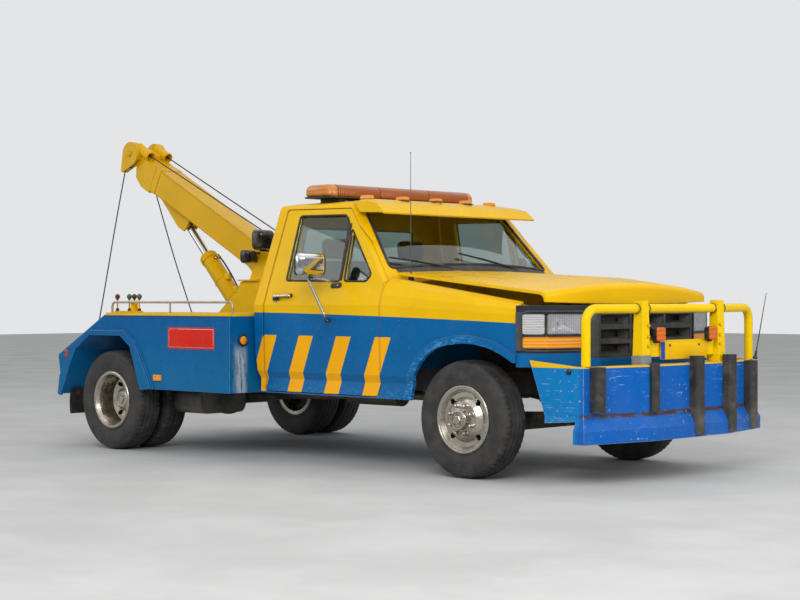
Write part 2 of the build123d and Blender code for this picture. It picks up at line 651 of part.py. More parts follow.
def nose():
    """Surround of the grille and lamps, the grille's bars, and the lamp blocks."""
    reach = NOSE_PLAN[-1][0]
    with BuildPart() as panel:
        add(nose_slice(0, reach, 0, NOSE_DEPTH, NOSE_LOW, NOSE_HIGH))
        add(mirror(panel.part, about=Plane.XZ))
        block((fx(500), -GRILLE_HALF, GRILLE_LOW), (fx(900), GRILLE_HALF, GRILLE_HIGH), mode=Mode.SUBTRACT)
        for low, high in (HEAD_ROW, TURN_ROW):
            for side in (-1, 1):
                near, far = sorted((side * LAMP_IN, side * (reach + 10)))
                block((fx(400), near, low), (fx(900), far, high), mode=Mode.SUBTRACT)
        block((fx(300), -1100, 700), (fx(FENDER_SPAN[1] + SEAT_GAP), 1100, 1300), mode=Mode.SUBTRACT)
    save(panel.part, "nose_panel")
    with BuildPart() as grille:
        add(nose_slice(0, GRILLE_HALF - SEAT_GAP, 12, 50, GRILLE_LOW + SEAT_GAP, GRILLE_HIGH - SEAT_GAP))
        add(mirror(grille.part, about=Plane.XZ))
        for y_low, y_high in GRILLE_COLUMNS:
            for z_low, z_high in GRILLE_ROWS:
                block((fx(500), y_low, z_low), (fx(900), y_high, z_high), mode=Mode.SUBTRACT)
    save(grille.part, "grille")
    lamps = []
    for y_in, y_out, (low, high) in ((LAMP_IN, LAMP_SPLIT - 3, HEAD_ROW),
                                     (LAMP_SPLIT + 3, LAMP_OUT, HEAD_ROW),
                                     (LAMP_IN, LAMP_OUT, TURN_ROW)):
        lamps.append(nose_slice(y_in + SEAT_GAP, y_out, 4, NOSE_DEPTH - 3, low + SEAT_GAP, high - SEAT_GAP))
    head, corner, turn = lamps
    save(Compound(children=[head, corner, mirror(head, about=Plane.XZ), mirror(corner, about=Plane.XZ)]),
         "headlamps")
    return turn


def bumper_form(inset):
    """The bumper's outer form set in by this much: a flat face over a skirt that stands further out."""
    levels = ((BUMPER_TOP - inset, 0), (BUMPER_FOLD, 0), (SKIRT_TOP, SKIRT_OUT),
              (BUMPER_LOW - inset, SKIRT_OUT))
    with BuildPart() as form:
        for (z_high, out_high), (z_low, out_low) in zip(levels, levels[1:]):
            for z, out in ((z_low, out_low), (z_high, out_high)):
                with BuildSketch(Plane.XY.offset(z)):
                    outline([(fx(x), y) for x, y in BUMPER_PLAN])
                    if out - inset:
                        offset(amount=out - inset, kind=Kind.INTERSECTION, mode=Mode.REPLACE)
                    with Locations((fx(BUMPER_PLAN[0][0] - inset), 0)):
                        Rectangle(2000, 4000, align=(Align.MIN, Align.CENTER), mode=Mode.INTERSECT)
            loft(ruled=True)
    return form.part


def mirrored_plan(left):
    """A plan outline given ahead of the front axle for y > 0, closed by its mirror image."""
    return [(fx(x), y) for x, y in left] + [(fx(x), -y) for x, y in reversed(left)]


def side_rise(side_x, side_y, corner_x, corner_y):
    """The tops of the bumper's side plates, which rise towards the fenders."""
    with BuildPart() as rise:
        with BuildSketch(Plane.XY.offset(BUMPER_TOP - PANEL)):
            outline([(fx(side_x), side_y), (fx(corner_x), corner_y), (fx(corner_x), corner_y - PANEL),
                     (fx(side_x), side_y - PANEL)])
        extrude(amount=2 * SIDE_RISE)
        profile = [(side_x, 0), (RISE_START, 0), (RISE_START, BUMPER_TOP),
                   (RISE_END, BUMPER_TOP + SIDE_RISE), (side_x, BUMPER_TOP + SIDE_RISE)]
        add(side_prism(ahead(profile), 0, BODY_HALF), mode=Mode.INTERSECT)
        mirror(about=Plane.XZ)
    return rise.part


def bumper():
    form = bumper_form(0)
    side_x, side_y = BUMPER_PLAN[0]
    corner_x, corner_y = BUMPER_PLAN[1]
    face_x, face_y = BUMPER_PLAN[2]
    lip_x = face_x - BUMPER_LIP
    with BuildPart() as shell:
        add(form)
        add(bumper_form(PANEL), mode=Mode.SUBTRACT)
        with BuildSketch(Plane.XY.offset(BUMPER_TOP - 2 * PANEL)):
            outline(mirrored_plan([(side_x - 1, side_y - PANEL), (lip_x, corner_y - PANEL)]))
        extrude(amount=3 * PANEL, mode=Mode.SUBTRACT)
        add(side_rise(side_x, side_y, corner_x, corner_y))
        add(side_prism(ahead(SIDE_CUT), -1200, 1200), mode=Mode.SUBTRACT)
        for side in (-1, 1):
            middle = side * FRAME_HALF
            block((fx(RAIL_FRONT + SEAT_GAP), middle - 60, 520), (fx(1058), middle + 60, 670))
    save(shell.part, "bumper")
    strips = []
    slope = (face_x - corner_x) / (corner_y - face_y)
    for y, low, high, left in STRIPS:
        beyond = max(abs(y) - face_y, 0)
        turn = degrees(atan2(slope, 1)) * (1 if y > 0 else -1) if beyond else 0
        depth = (FRONT_REACH - face_x) * left
        base = Plane(origin=(fx(face_x - beyond * slope), y, low), z_dir=(0, 0, 1),
                     x_dir=(cos(radians(turn)), sin(radians(turn)), 0))
        with BuildPart() as rubber:
            with BuildSketch(base):
                with BuildLine():
                    Line((SEAT_GAP, -STRIP_WIDTH / 2), (depth / 2, -STRIP_WIDTH / 2))
                    ThreePointArc((depth / 2, -STRIP_WIDTH / 2), (depth, 0), (depth / 2, STRIP_WIDTH / 2))
                    Polyline((depth / 2, STRIP_WIDTH / 2), (SEAT_GAP, STRIP_WIDTH / 2),
                             (SEAT_GAP, -STRIP_WIDTH / 2))
                make_face()
            extrude(amount=high - low)
            add(form, mode=Mode.SUBTRACT)
        strips.append(rubber.part)
    save(Compound(children=strips), "bumper_strips")


LOOP_RADIUS = 29
LOOP_TOP = 1108
LOOP_FOOT = (962, 914)  # x and y of each loop's outer leg
UPRIGHT = ((988, 1064), (380, 472))  # x and y of each upright's foot
UPRIGHT_TAPER = 18
UPRIGHT_TOP = 1160
PLATE_BAR = (800, 905)  # low and high of the flat bar that carries the blank plate


def bull_bar():
    foot_x, foot_y = LOOP_FOOT
    (x_low, x_high), (y_low, y_high) = UPRIGHT
    middle_x, middle_y = (x_low + x_high) / 2, (y_low + y_high) / 2
    with BuildPart() as loop:
        with BuildLine() as path:
            FilletPolyline((fx(foot_x), foot_y, BUMPER_TOP), (fx(foot_x), foot_y, LOOP_TOP),
                           (fx(middle_x), middle_y, LOOP_TOP), radius=85)
        with BuildSketch(Plane(origin=path.line @ 0, z_dir=path.line % 0)):
            Circle(LOOP_RADIUS)
        sweep(path=path.line)
    with BuildPart() as upright:
        for z, inset in ((BUMPER_TOP, 0), (UPRIGHT_TOP, UPRIGHT_TAPER)):
            with BuildSketch(Plane.XY.offset(z)):
                with Locations((fx(middle_x), middle_y)):
                    Rectangle(x_high - x_low - inset, y_high - y_low - inset)
        loft(ruled=True)
    with BuildPart() as bar:
        for piece in (loop.part, upright.part):
            add(piece)
            add(mirror(piece, about=Plane.XZ))
        with Locations(axle_line(fx(middle_x), 0, LOOP_TOP)):
            Cylinder(LOOP_RADIUS, 2 * middle_y)
        low, high = PLATE_BAR
        block((fx(middle_x - 6), -y_low - 5, low), (fx(middle_x + 6), y_low + 5, high))
    save(bar.part, "bull_bar")


# Roof gear: visor, light bar on its feet, clearance lamps and side markers.
VISOR = [(-1160, 1884), (-942, 1838), (-862, 1770), (-868, 1760), (-950, 1826), (-1160, 1872)]
VISOR_HALF = 815
VISOR_PROUD = 12  # how far the visor's ends stand outside the roof's own section
BAR_X, BAR_LOW, BAR_HIGH = -1575, 1899, 2000
BAR_HALF = 785
ROOF_LAMPS = ((-1183, 661), (-1140, 342), (-1128, 0))  # x and y of the clearance lamps, mirrored
BODY_MARKER = ((-2910, -2822), (556, 600))  # x and z of the side marker on the wrecker body


def visor(outer):
    with BuildPart() as shade:
        with BuildSketch(side_plane(VISOR_HALF)):
            outline(ahead(VISOR))
        extrude(amount=2 * VISOR_HALF)
        for y in (VISOR_HALF, 8 - VISOR_HALF):
            with BuildSketch(side_plane(y)):
                outline(ahead(VISOR[:3] + [(-1100, 1780), (-1160, 1850)]))
            extrude(amount=8)
        extrude(cab_section(CAB_SECTION, -VISOR_PROUD), amount=2 * CAB_BACK, mode=Mode.INTERSECT)
        add(outer, mode=Mode.SUBTRACT)
    save(shade.part, "sun_visor")
    return shade.part


def roof_gear(outer, shade, turn_lamp):
    with BuildPart() as bar:
        block((fx(BAR_X - 145), -BAR_HALF, BAR_LOW), (fx(BAR_X + 145), BAR_HALF, BAR_HIGH))
        fillet(bar.edges().filter_by(Axis.Z), 90)
        fillet(bar.faces().sort_by(Axis.Z)[-1].edges(), 24)
    save(bar.part, "light_bar")
    with BuildPart() as feet:
        for side in (-1, 1):
            block((fx(BAR_X - 100), side * 620 - 30, 1840), (fx(BAR_X + 100), side * 620 + 30, BAR_LOW))
        add(outer, mode=Mode.SUBTRACT)
    save(feet.part, "roof_feet")
    lamps = [turn_lamp, mirror(turn_lamp, about=Plane.XZ)]
    places = [(x, side * y) for x, y in ROOF_LAMPS for side in ((1, -1) if y else (1,))]
    for x, y in places:
        with BuildPart() as lamp:
            block((fx(x - 40), y - 28, 1850), (fx(x + 40), y + 28, 1908))
            fillet(lamp.faces().sort_by(Axis.Z)[-1].edges(), 12)
            add(outer, mode=Mode.SUBTRACT)
            add(shade, mode=Mode.SUBTRACT)
        lamps.append(max(lamp.part.solids(), key=lambda solid: solid.volume))
    (x_low, x_high), (z_low, z_high) = BODY_MARKER
    with BuildPart() as marker:
        block((fx(x_low), BODY_HALF + SEAT_GAP, z_low), (fx(x_high), BODY_HALF + 12, z_high))
    lamps += [marker.part, mirror(marker.part, about=Plane.XZ)]
    save(Compound(children=lamps), "amber_lamps")


# The wrecker body, in side view from the rear axle: lockers, arch, flare, deck and tail lamps.
BODY_FRONT = 1440
BODY_SIDE = [(BODY_FRONT, 488), (547, 488), (415, 484), (-628, 410), (-678, 725), (-26, BODY_TOP),
             (BODY_FRONT, BODY_TOP)]
DECK_SIDE = [(BODY_FRONT, DECK_TOP), (-260, DECK_TOP), (-676, 726), (-672, 703), (-252, DECK_TOP - 20),
             (BODY_FRONT, DECK_TOP - 20)]
BODY_ARCH = [(445, 300), (415, 480), (285, 811), (163, 890), (-238, 890), (-425, 770), (-505, 640),
             (-635, 400), (-635, 300)]
BODY_FLARE = [(547, 491), (340, 844), (199, 928), (-256, 928), (-485, 790), (-635, 560), (-660, 411),
              (-625, 400), (-505, 640), (-425, 770), (-238, 890), (163, 890), (285, 811), (415, 480)]
FLARE_DEPTH = 22
LIP = (10, 22)  # how far the body's top edge stands out, and its depth
SUBFRAME_PLACES = (1325, 775, 175, -205)
TREAD_PLATE = ((830, -600), (1420, 600), 4)  # corners and thickness of the clear plate ahead of the tower
TAIL_LAMP = (560, 700, 28)  # low, high and depth
RAIL_INSET, RAIL_TOP, RAIL_TUBE = 50, 1148, 9
RAIL_SPAN = (-25, 1415)
LEVER_PLACES = (-12, 140, 203, 266)


def tail_x(z):
    """X of the body's leaning tail at this height, from the rear axle."""
    (x0, z0), (x1, z1) = BODY_SIDE[3:5]
    return x0 + (x1 - x0) * (z - z0) / (z1 - z0)


def wrecker_body():
    with BuildPart() as locker:
        with BuildSketch(side_plane(BODY_HALF)):
            outline(behind(BODY_SIDE))
        extrude(amount=BODY_HALF - DECK_HALF)
        with BuildSketch(side_plane(BODY_HALF + 50)):
            outline(behind(BODY_ARCH))
        extrude(amount=BODY_HALF + 50 - DECK_HALF - PANEL, mode=Mode.SUBTRACT)
        with BuildSketch(side_plane(BODY_HALF + FLARE_DEPTH)):
            outline(behind(BODY_FLARE))
        extrude(amount=FLARE_DEPTH)
        out, deep = LIP
        block((rx(BODY_SIDE[5][0]), BODY_HALF, BODY_TOP - deep), (rx(BODY_FRONT), BODY_HALF + out, BODY_TOP))
    with BuildPart() as body:
        add(locker.part)
        add(mirror(locker.part, about=Plane.XZ))
        add(side_prism(behind(DECK_SIDE), -DECK_HALF, DECK_HALF))
        for place in SUBFRAME_PLACES:
            block((rx(place - 30), -DECK_HALF, FRAME_TOP + SEAT_GAP),
                  (rx(place + 30), DECK_HALF, DECK_TOP - 2 * PANEL))
        (x_low, y_low), (x_high, y_high), thick = TREAD_PLATE
        block((rx(x_low), y_low, DECK_TOP), (rx(x_high), y_high, DECK_TOP + thick))
    save(body.part, "wrecker_body")
    low, high, depth = TAIL_LAMP
    lamp = side_prism(behind([(tail_x(low), low), (tail_x(low) - depth, low), (tail_x(high) - depth, high),
                              (tail_x(high), high)]), BODY_HALF - 240, BODY_HALF - 40)
    save(both_sides(lamp), "tail_lamps")


def rails():
    y = BODY_HALF - RAIL_INSET
    rear, front = RAIL_SPAN
    with BuildPart() as rail:
        add(tube_along([(rx(rear), y, BODY_TOP), (rx(rear), y, RAIL_TOP), (rx(front), y, RAIL_TOP),
                        (rx(front), y, BODY_TOP)], (36, 36), RAIL_TUBE))
        with Locations((rx((rear + front) / 2), y, (BODY_TOP + RAIL_TOP) / 2)):
            Cylinder(RAIL_TUBE - 2, RAIL_TOP - BODY_TOP)
    save(both_sides(rail.part), "side_rails")
    lever_y, lever_top, plate = 90 - BODY_HALF, 1190, 20
    with BuildPart() as levers:
        block((rx(LEVER_PLACES[0] - 14), lever_y - plate, BODY_TOP),
              (rx(LEVER_PLACES[-1] + 25), lever_y + plate, BODY_TOP + 12))
        block((rx(LEVER_PLACES[2] - plate), lever_y - plate, BODY_TOP),
              (rx(LEVER_PLACES[2] + plate), lever_y + plate, lever_top - 30))
        for place in LEVER_PLACES:
            with Locations((rx(place), lever_y, (BODY_TOP + lever_top) / 2)):
                Cylinder(6, lever_top - BODY_TOP)
            with Locations((rx(place), lever_y, lever_top)):
                Sphere(18)
    save(levers.part, "control_levers")


# The boom: its pivot in the tower, its rest line, and the cylinder that raises it. Places along the
# boom are from its pivot, and heights are square to it.
PIVOT = Vector(rx(490), 0, 1500)
PIVOT_RADIUS = 30
CYLINDER_FOOT = Vector(rx(185), 0, 1060)
FOOT_RADIUS = 22
BOOM_DIR = Vector(-cos(radians(BOOM_RISE)), 0, sin(radians(BOOM_RISE)))
BOOM_UP = Vector(sin(radians(BOOM_RISE)), 0, cos(radians(BOOM_RISE)))
BOOM_START, BOOM_END = -90, 1520
TIP_DROP, TIP_RADIUS = 95, 18  # the sheave housings' lower tips, the truck's rearmost points
TIP_ALONG = (PIVOT.X - REAR_AXLE + HEAD_REACH - TIP_RADIUS - TIP_DROP * BOOM_UP.X) / -BOOM_DIR.X
INNER_START, INNER_END = 160, TIP_ALONG - 210
HEAD_START = BOOM_END + 6
COLLAR = (70, 4)  # length and thickness of the band round the outer boom's mouth
LUG_ALONG, LUG_DOWN = 1030, 200
LUG_GAP, LUG_PLATE = 46, 16  # half the space between the lug plates, and their thickness
LUG = PIVOT + BOOM_DIR * LUG_ALONG - BOOM_UP * LUG_DOWN
LINK_GAP = 6
TOWER_SIDE = [(775, DECK_TOP + 5), (-90, DECK_TOP + 5), (45, 1075), (250, 1229), (305, 1310), (415, 1330),
              (448, 1390), (365, 1470), (385, 1560), (575, 1600), (740, 1590)]
TOWER_FLANGE = (300, 533, 1317)  # x from, x to, and z of the flange under the boom
# Rope guides: outer and inner radius, start, end, height and y
GUIDE = (44, 34, TIP_ALONG - 242, TIP_ALONG - 50, 145, 94)
SHEAVE = (TIP_ALONG - 34, 78, 84, 130)  # along, up, radius and y of each sheave
HOUSING = 28  # half width of a sheave's housing
HOUSING_RADIUS = 104
WINCH = (-20, 168, 40, 58, 108)  # along, up, drum radius, flange radius and half width
ROPE_RADIUS = 5.5


def boom_plane(along, across=0, up=0):
    """A plane square to the boom, whose axes are the truck's right and the boom's own up."""
    origin = PIVOT + BOOM_DIR * along + BOOM_UP * up + Vector(0, across, 0)
    return Plane(origin=origin, x_dir=(0, -1, 0), z_dir=BOOM_DIR)


def boom_view(y):
    """A plane at this Y with the boom's own axes, along and up, that extrudes towards +Y."""
    return Plane(origin=(PIVOT.X, y, PIVOT.Z), x_dir=BOOM_DIR, z_dir=(0, 1, 0))


def boom_place(along, up, y=0):
    """Place of a cylinder across the boom."""
    centre = PIVOT + BOOM_DIR * along + BOOM_UP * up
    return axle_line(centre.X, y, centre.Z)


def boom_tube(start, end, width, depth, wall=0):
    with BuildPart() as tube:
        with BuildSketch(boom_plane(start)):
            Rectangle(width, depth)
            if wall:
                Rectangle(width - 2 * wall, depth - 2 * wall, mode=Mode.SUBTRACT)
        extrude(amount=end - start)
    return tube.part


def boom_plate(points, y_low, y_high):
    """A plate with an outline in the boom's own axes, between two Y values."""
    with BuildPart() as plate:
        with BuildSketch(boom_view(y_low)):
            outline(points)
        extrude(amount=y_high - y_low)
    return plate.part


def tower():
    """Two side plates tied by a front plate, a flange and the boom's and cylinder's pins."""
    inner = BOOM_WIDTH / 2 + LINK_GAP
    outer = inner + BOOM_PLATE
    with BuildPart() as mast:
        with BuildSketch(side_plane(outer)):
            outline(behind(TOWER_SIDE))
        extrude(amount=BOOM_PLATE)
        mirror(about=Plane.XZ)
        foot_z = TOWER_SIDE[0][1] - 5
        block((rx(745), -inner, foot_z), (rx(757), inner, 1400))
        block((rx(-60), -inner, foot_z), (rx(0), inner, foot_z + 90))
        block((rx(-100), -outer - 70, foot_z), (rx(776), outer + 70, foot_z + 5))
        low, high, z = TOWER_FLANGE
        block((rx(low), -outer - 26, z), (rx(high), outer + 26, z + BOOM_PLATE))
        with Locations(axle_line(PIVOT.X, 0, PIVOT.Z)):
            Cylinder(PIVOT_RADIUS, 2 * outer + 28)
        with Locations(axle_line(CYLINDER_FOOT.X, 0, CYLINDER_FOOT.Z)):
            Cylinder(FOOT_RADIUS, 2 * inner)
    save(mast.part, "boom_tower")


def boom():
    """The outer boom with its root bored for the pin, lug plates below and wear pads in its mouth."""
    inner_width = BOOM_WIDTH - 2 * BOOM_PLATE - 2 * BOOM_CLEARANCE
    inner_depth = BOOM_DEPTH - 2 * BOOM_PLATE - 2 * BOOM_CLEARANCE
    length, thick = COLLAR
    with BuildPart() as outer:
        add(boom_tube(BOOM_START, BOOM_END, BOOM_WIDTH, BOOM_DEPTH, BOOM_PLATE))
        add(boom_tube(BOOM_START, -BOOM_START, BOOM_WIDTH, BOOM_DEPTH))
        add(boom_tube(BOOM_END - length, BOOM_END, BOOM_WIDTH + 2 * thick, BOOM_DEPTH + 2 * thick,
                      thick + 1))
        for z_side in (-1, 1):
            with BuildSketch(boom_plane(BOOM_END - length, up=z_side * (BOOM_DEPTH / 2 - BOOM_PLATE))):
                Rectangle(inner_width - 20, 2 * (BOOM_CLEARANCE - SEAT_GAP))
            extrude(amount=length - 10)
        for y_low in (LUG_GAP, -LUG_GAP - LUG_PLATE):
            half = BOOM_DEPTH / 2
            add(boom_plate([(LUG_ALONG - 60, 2 - half), (BOOM_END - 70, 2 - half),
                            (BOOM_END - 95, -half - 14), (LUG_ALONG + 55, -LUG_DOWN - 44),
                            (LUG_ALONG - 30, -LUG_DOWN - 44), (LUG_ALONG - 50, -LUG_DOWN)],
                           y_low, y_low + LUG_PLATE))
        with Locations(axle_line(PIVOT.X, 0, PIVOT.Z)):
            Cylinder(PIVOT_RADIUS + SEAT_GAP, 400, mode=Mode.SUBTRACT)
    save(outer.part, "boom_outer")
    inner_boom = boom_tube(INNER_START, INNER_END, inner_width, inner_depth, PANEL)
    save(inner_boom, "boom_inner")
    boom_head(inner_width, inner_depth)


def boom_head(inner_width, inner_depth):
    """The head box on the inner boom, two rope guides on a bridge, and two sheaves in housings."""
    half = BOOM_DEPTH / 2
    outer_radius, inner_radius, guide_start, guide_end, guide_up, guide_y = GUIDE
    along, up, radius, sheave_y = SHEAVE
    with BuildPart() as head:
        add(boom_plate([(HEAD_START, -half - 25), (TIP_ALONG - 252, -half - 25),
                        (TIP_ALONG - 152, 18 - half), (TIP_ALONG - 84, 61), (TIP_ALONG - 102, half),
                        (HEAD_START, half)],
                       -BOOM_WIDTH / 2, BOOM_WIDTH / 2))
        add(boom_tube(INNER_START, INNER_END, inner_width, inner_depth), mode=Mode.SUBTRACT)
        add(boom_plate([(guide_start + 40, half - 1), (TIP_ALONG - 102, half - 1),
                        (TIP_ALONG - 62, guide_up), (guide_start + 40, guide_up)],
                       -guide_y - 20, guide_y + 20))
        for y in (-guide_y, guide_y):
            with BuildSketch(boom_plane(guide_start, y, guide_up)):
                Circle(outer_radius)
            extrude(amount=guide_end - guide_start)
        for y in (-guide_y, guide_y):
            with BuildSketch(boom_plane(guide_start, y, guide_up)):
                Circle(inner_radius)
            extrude(amount=guide_end - guide_start, mode=Mode.SUBTRACT)
        with Locations(boom_place(along, up)):
            Cylinder(24, 2 * (sheave_y + HOUSING + 10))
        for y in (-sheave_y, sheave_y):
            add(sheave_housing(y))
    save(head.part, "boom_head")


def sheave_housing(y):
    """A sheave between two cheeks, under a hood that is open towards the truck."""
    along, up, radius, _ = SHEAVE
    tip = (TIP_ALONG, -TIP_DROP, TIP_RADIUS)
    cheek = 7
    with BuildPart() as housing:
        for grow, depth, mode in ((0, HOUSING, Mode.ADD), (-cheek, HOUSING - cheek, Mode.SUBTRACT)):
            with BuildSketch(boom_view(y - depth)):
                with Locations((along, up)):
                    Circle(HOUSING_RADIUS + grow)
                with Locations(tip[:2]):
                    Circle(tip[2] + grow)
                make_hull()
            extrude(amount=2 * depth, mode=mode)
        add(boom_plate([(along - 200, -200), (along - 6, -200), (along - 40, up - 20),
                        (along - 200, up + 10)], y - HOUSING + cheek, y + HOUSING - cheek),
            mode=Mode.SUBTRACT)
        with Locations(boom_place(along, up, y)):
            Cylinder(radius, 2 * (HOUSING - cheek) - 4)
            Cylinder(24, 2 * HOUSING)
    return housing.part


def winches():
    """Two rope drums side by side on the boom's root, and the ropes that run to the head."""
    along, up, drum, flange, half = WINCH
    plates = (-half, -6, half - 8)
    with BuildPart() as unit:
        for y in plates:
            thick = 12 if y == -6 else 8
            add(boom_plate([(along - 50, BOOM_DEPTH / 2), (along + 50, BOOM_DEPTH / 2),
                            (along + 50, up + 10), (along + 20, up + 30), (along - 20, up + 30),
                            (along - 50, up + 10)], y, y + thick))
        with Locations(boom_place(along, up)):
            Cylinder(drum, 2 * half - 8)
        for y in (16, half - 14):
            with Locations(boom_place(along, up, y + 3), boom_place(along, up, -y - 3)):
                Cylinder(flange, 6)
    save(unit.part, "winches")
    lines = []
    rope_y = GUIDE[5] - 40
    start = PIVOT + BOOM_DIR * along + BOOM_UP * (up + drum + ROPE_RADIUS + SEAT_GAP)
    end = PIVOT + BOOM_DIR * (GUIDE[2] + 120) + BOOM_UP * GUIDE[4]
    for y in (-rope_y - 20, rope_y + 20):
        with BuildPart() as rope:
            near = start + Vector(0, y, 0)
            far = end + Vector(0, y + (20 if y > 0 else -20), 0)
            with BuildSketch(Plane(origin=near, z_dir=far - near)):
                Circle(ROPE_RADIUS)
            extrude(amount=(far - near).length)
        lines.append(rope.part)
    save(Compound(children=lines), "winch_lines")


def lift_cylinder():
    axis = (LUG - CYLINDER_FOOT).normalized()
    span = (LUG - CYLINDER_FOOT).length
    barrel_end = 640
    rod_start = 330

    def across(distance):
        return Plane(origin=CYLINDER_FOOT + axis * distance, x_dir=(0, 1, 0), z_dir=axis)

    with BuildPart() as barrel:
        with BuildSketch(across(40)):
            Circle(BARREL_RADIUS)
        extrude(amount=barrel_end - 40)
        with BuildSketch(across(barrel_end - 45)):
            Circle(BARREL_RADIUS + 6)
        extrude(amount=45)
        with BuildSketch(across(60)):
            Circle(ROD_RADIUS + SEAT_GAP)
        extrude(amount=barrel_end, mode=Mode.SUBTRACT)
        with Locations(axle_line(CYLINDER_FOOT.X, 0, CYLINDER_FOOT.Z)):
            Cylinder(46, 90)
            Cylinder(FOOT_RADIUS + SEAT_GAP, 120, mode=Mode.SUBTRACT)
    save(barrel.part, "lift_cylinder")
    with BuildPart() as rod:
        with BuildSketch(across(rod_start)):
            Circle(ROD_RADIUS)
        extrude(amount=span - rod_start - 20)
        with Locations(axle_line(LUG.X, 0, LUG.Z)):
            Cylinder(38, 2 * (LUG_GAP - 10))
    save(rod.part, "lift_rod")


# Work lamps on the tower and fog lamps on the bull bar: lens middle and half sizes.
WORK_LAMP = ((755, 283, 1640), (55, 95, 80))
SIDE_LAMP = ((512, 212, 1513), (45, 60, 52))
FOG_LAMP = ((1100, 295, 960), (26, 43, 43))


def work_lamps():
    inner = BOOM_WIDTH / 2 + LINK_GAP + BOOM_PLATE
    (wx, wy, wz), (wdx, wdy, wdz) = WORK_LAMP
    (sx, sy, sz), (sdx, sdy, sdz) = SIDE_LAMP
    (gx, gy, gz), (gdx, gdy, gdz) = FOG_LAMP
    with BuildPart() as work:
        block((rx(wx - wdx), wy - wdy, wz - wdz), (rx(wx + wdx), wy + wdy, wz + wdz))
        fillet(work.faces().sort_by(Axis.X)[-1].edges(), 34)
        fillet(work.edges().filter_by(Axis.X), 12)
        block((rx(wx - 55), inner + SEAT_GAP, 1548), (rx(wx - 31), wy + 40, 1562))
    with BuildPart() as side:
        block((rx(sx - sdx), sy - sdy, sz - sdz), (rx(sx + sdx), sy + sdy, sz + sdz))
        fillet(side.faces().sort_by(Axis.X)[-1].edges(), 26)
        block((rx(sx + 20), inner + SEAT_GAP, sz + 20), (rx(sx + 36), sy, sz + 36))
    with BuildPart() as fog:
        block((fx(gx - gdx), gy - gdy, gz - gdz), (fx(gx + gdx), gy + gdy, gz + gdz))
        fillet(fog.faces().sort_by(Axis.X)[0].edges(), 20)
        block((fx(gx - 70), gy - 14, PLATE_BAR[1] + SEAT_GAP), (fx(gx - gdx + 4), gy + 14, gz - gdz + 20))
    right_side = mirror(side.part, about=Plane.XZ)
    save(Compound(children=[mirror(work.part, about=Plane.XZ), right_side, fog.part,
                            mirror(fog.part, about=Plane.XZ)]), "work_lamps")


# The wheels. A profile's points are the radius and the distance outboard of the wheel's middle plane.
DISC = RIM_WIDTH / 2
HUB_FACE = 34  # how far inside the front rim's outer edge the stub axle ends


def wheel_ring(points, side, x, y):
    """A body of revolution about the axle line through this place."""
    with BuildPart() as ring:
        with BuildSketch(Plane(origin=(x, y, TYRE_RADIUS), x_dir=(0, 0, 1), z_dir=(-1, 0, 0))):
            outline([(radius, side * outboard) for radius, outboard in points])
        revolve(axis=Axis((x, y, TYRE_RADIUS), (0, 1, 0)))
    return ring.part


def tyre(x, y):
    half = TYRE_WIDTH / 2
    bead = DISC - 6
    outside = [(RIM_RADIUS - 12, bead), (RIM_RADIUS + 30, half - 12), (RIM_RADIUS + 85, half),
               (TYRE_RADIUS - 26, half - 10), (TYRE_RADIUS - 4, half - 32), (TYRE_RADIUS, half - 60)]
    inside = [(RIM_RADIUS + 60, half - 30), (RIM_RADIUS - 12, bead - 16)]
    face = [(radius, -out) for radius, out in outside] + list(reversed(outside))
    hollow = list(reversed(inside)) + [(radius, -out) for radius, out in inside]
    return wheel_ring(face + hollow, 1, x, y)


def well(inner_end):
    """The rim's flanges and drop centre from outboard to inboard, as radius and distance."""
    return [(RIM_RADIUS, DISC), (RIM_RADIUS - 13, DISC), (RIM_RADIUS - 13, DISC - 22),
            (RIM_RADIUS - 30, DISC - 40), (RIM_RADIUS - 30, 40 - DISC), (RIM_RADIUS - 13, 22 - DISC),
            (RIM_RADIUS - 13, 1 - DISC), (RIM_RADIUS, -DISC), (inner_end, -DISC)]


def front_rim(side, x, y):
    """A domed disc with four hand holes round a bulging hub."""
    disc = [(RIM_RADIUS - 40, DISC - 60), (150, DISC - 40), (60, DISC - HUB_FACE), (0, DISC - HUB_FACE),
            (0, DISC + 58), (48, DISC + 54), (60, DISC + 40), (66, DISC + 16), (118, DISC + 8),
            (150, DISC - 24), (RIM_RADIUS - 44, DISC - 20), (RIM_RADIUS - 24, DISC + 8),
            (RIM_RADIUS, DISC + 8)]
    with BuildPart() as rim:
        add(wheel_ring(well(RIM_RADIUS - 40) + disc, side, x, y))
        with BuildSketch(side_plane(y + 200)):
            with Locations((x, TYRE_RADIUS)):
                with PolarLocations(158, 4, 45):
                    Circle(19)
        extrude(amount=400, mode=Mode.SUBTRACT)
    return rim.part


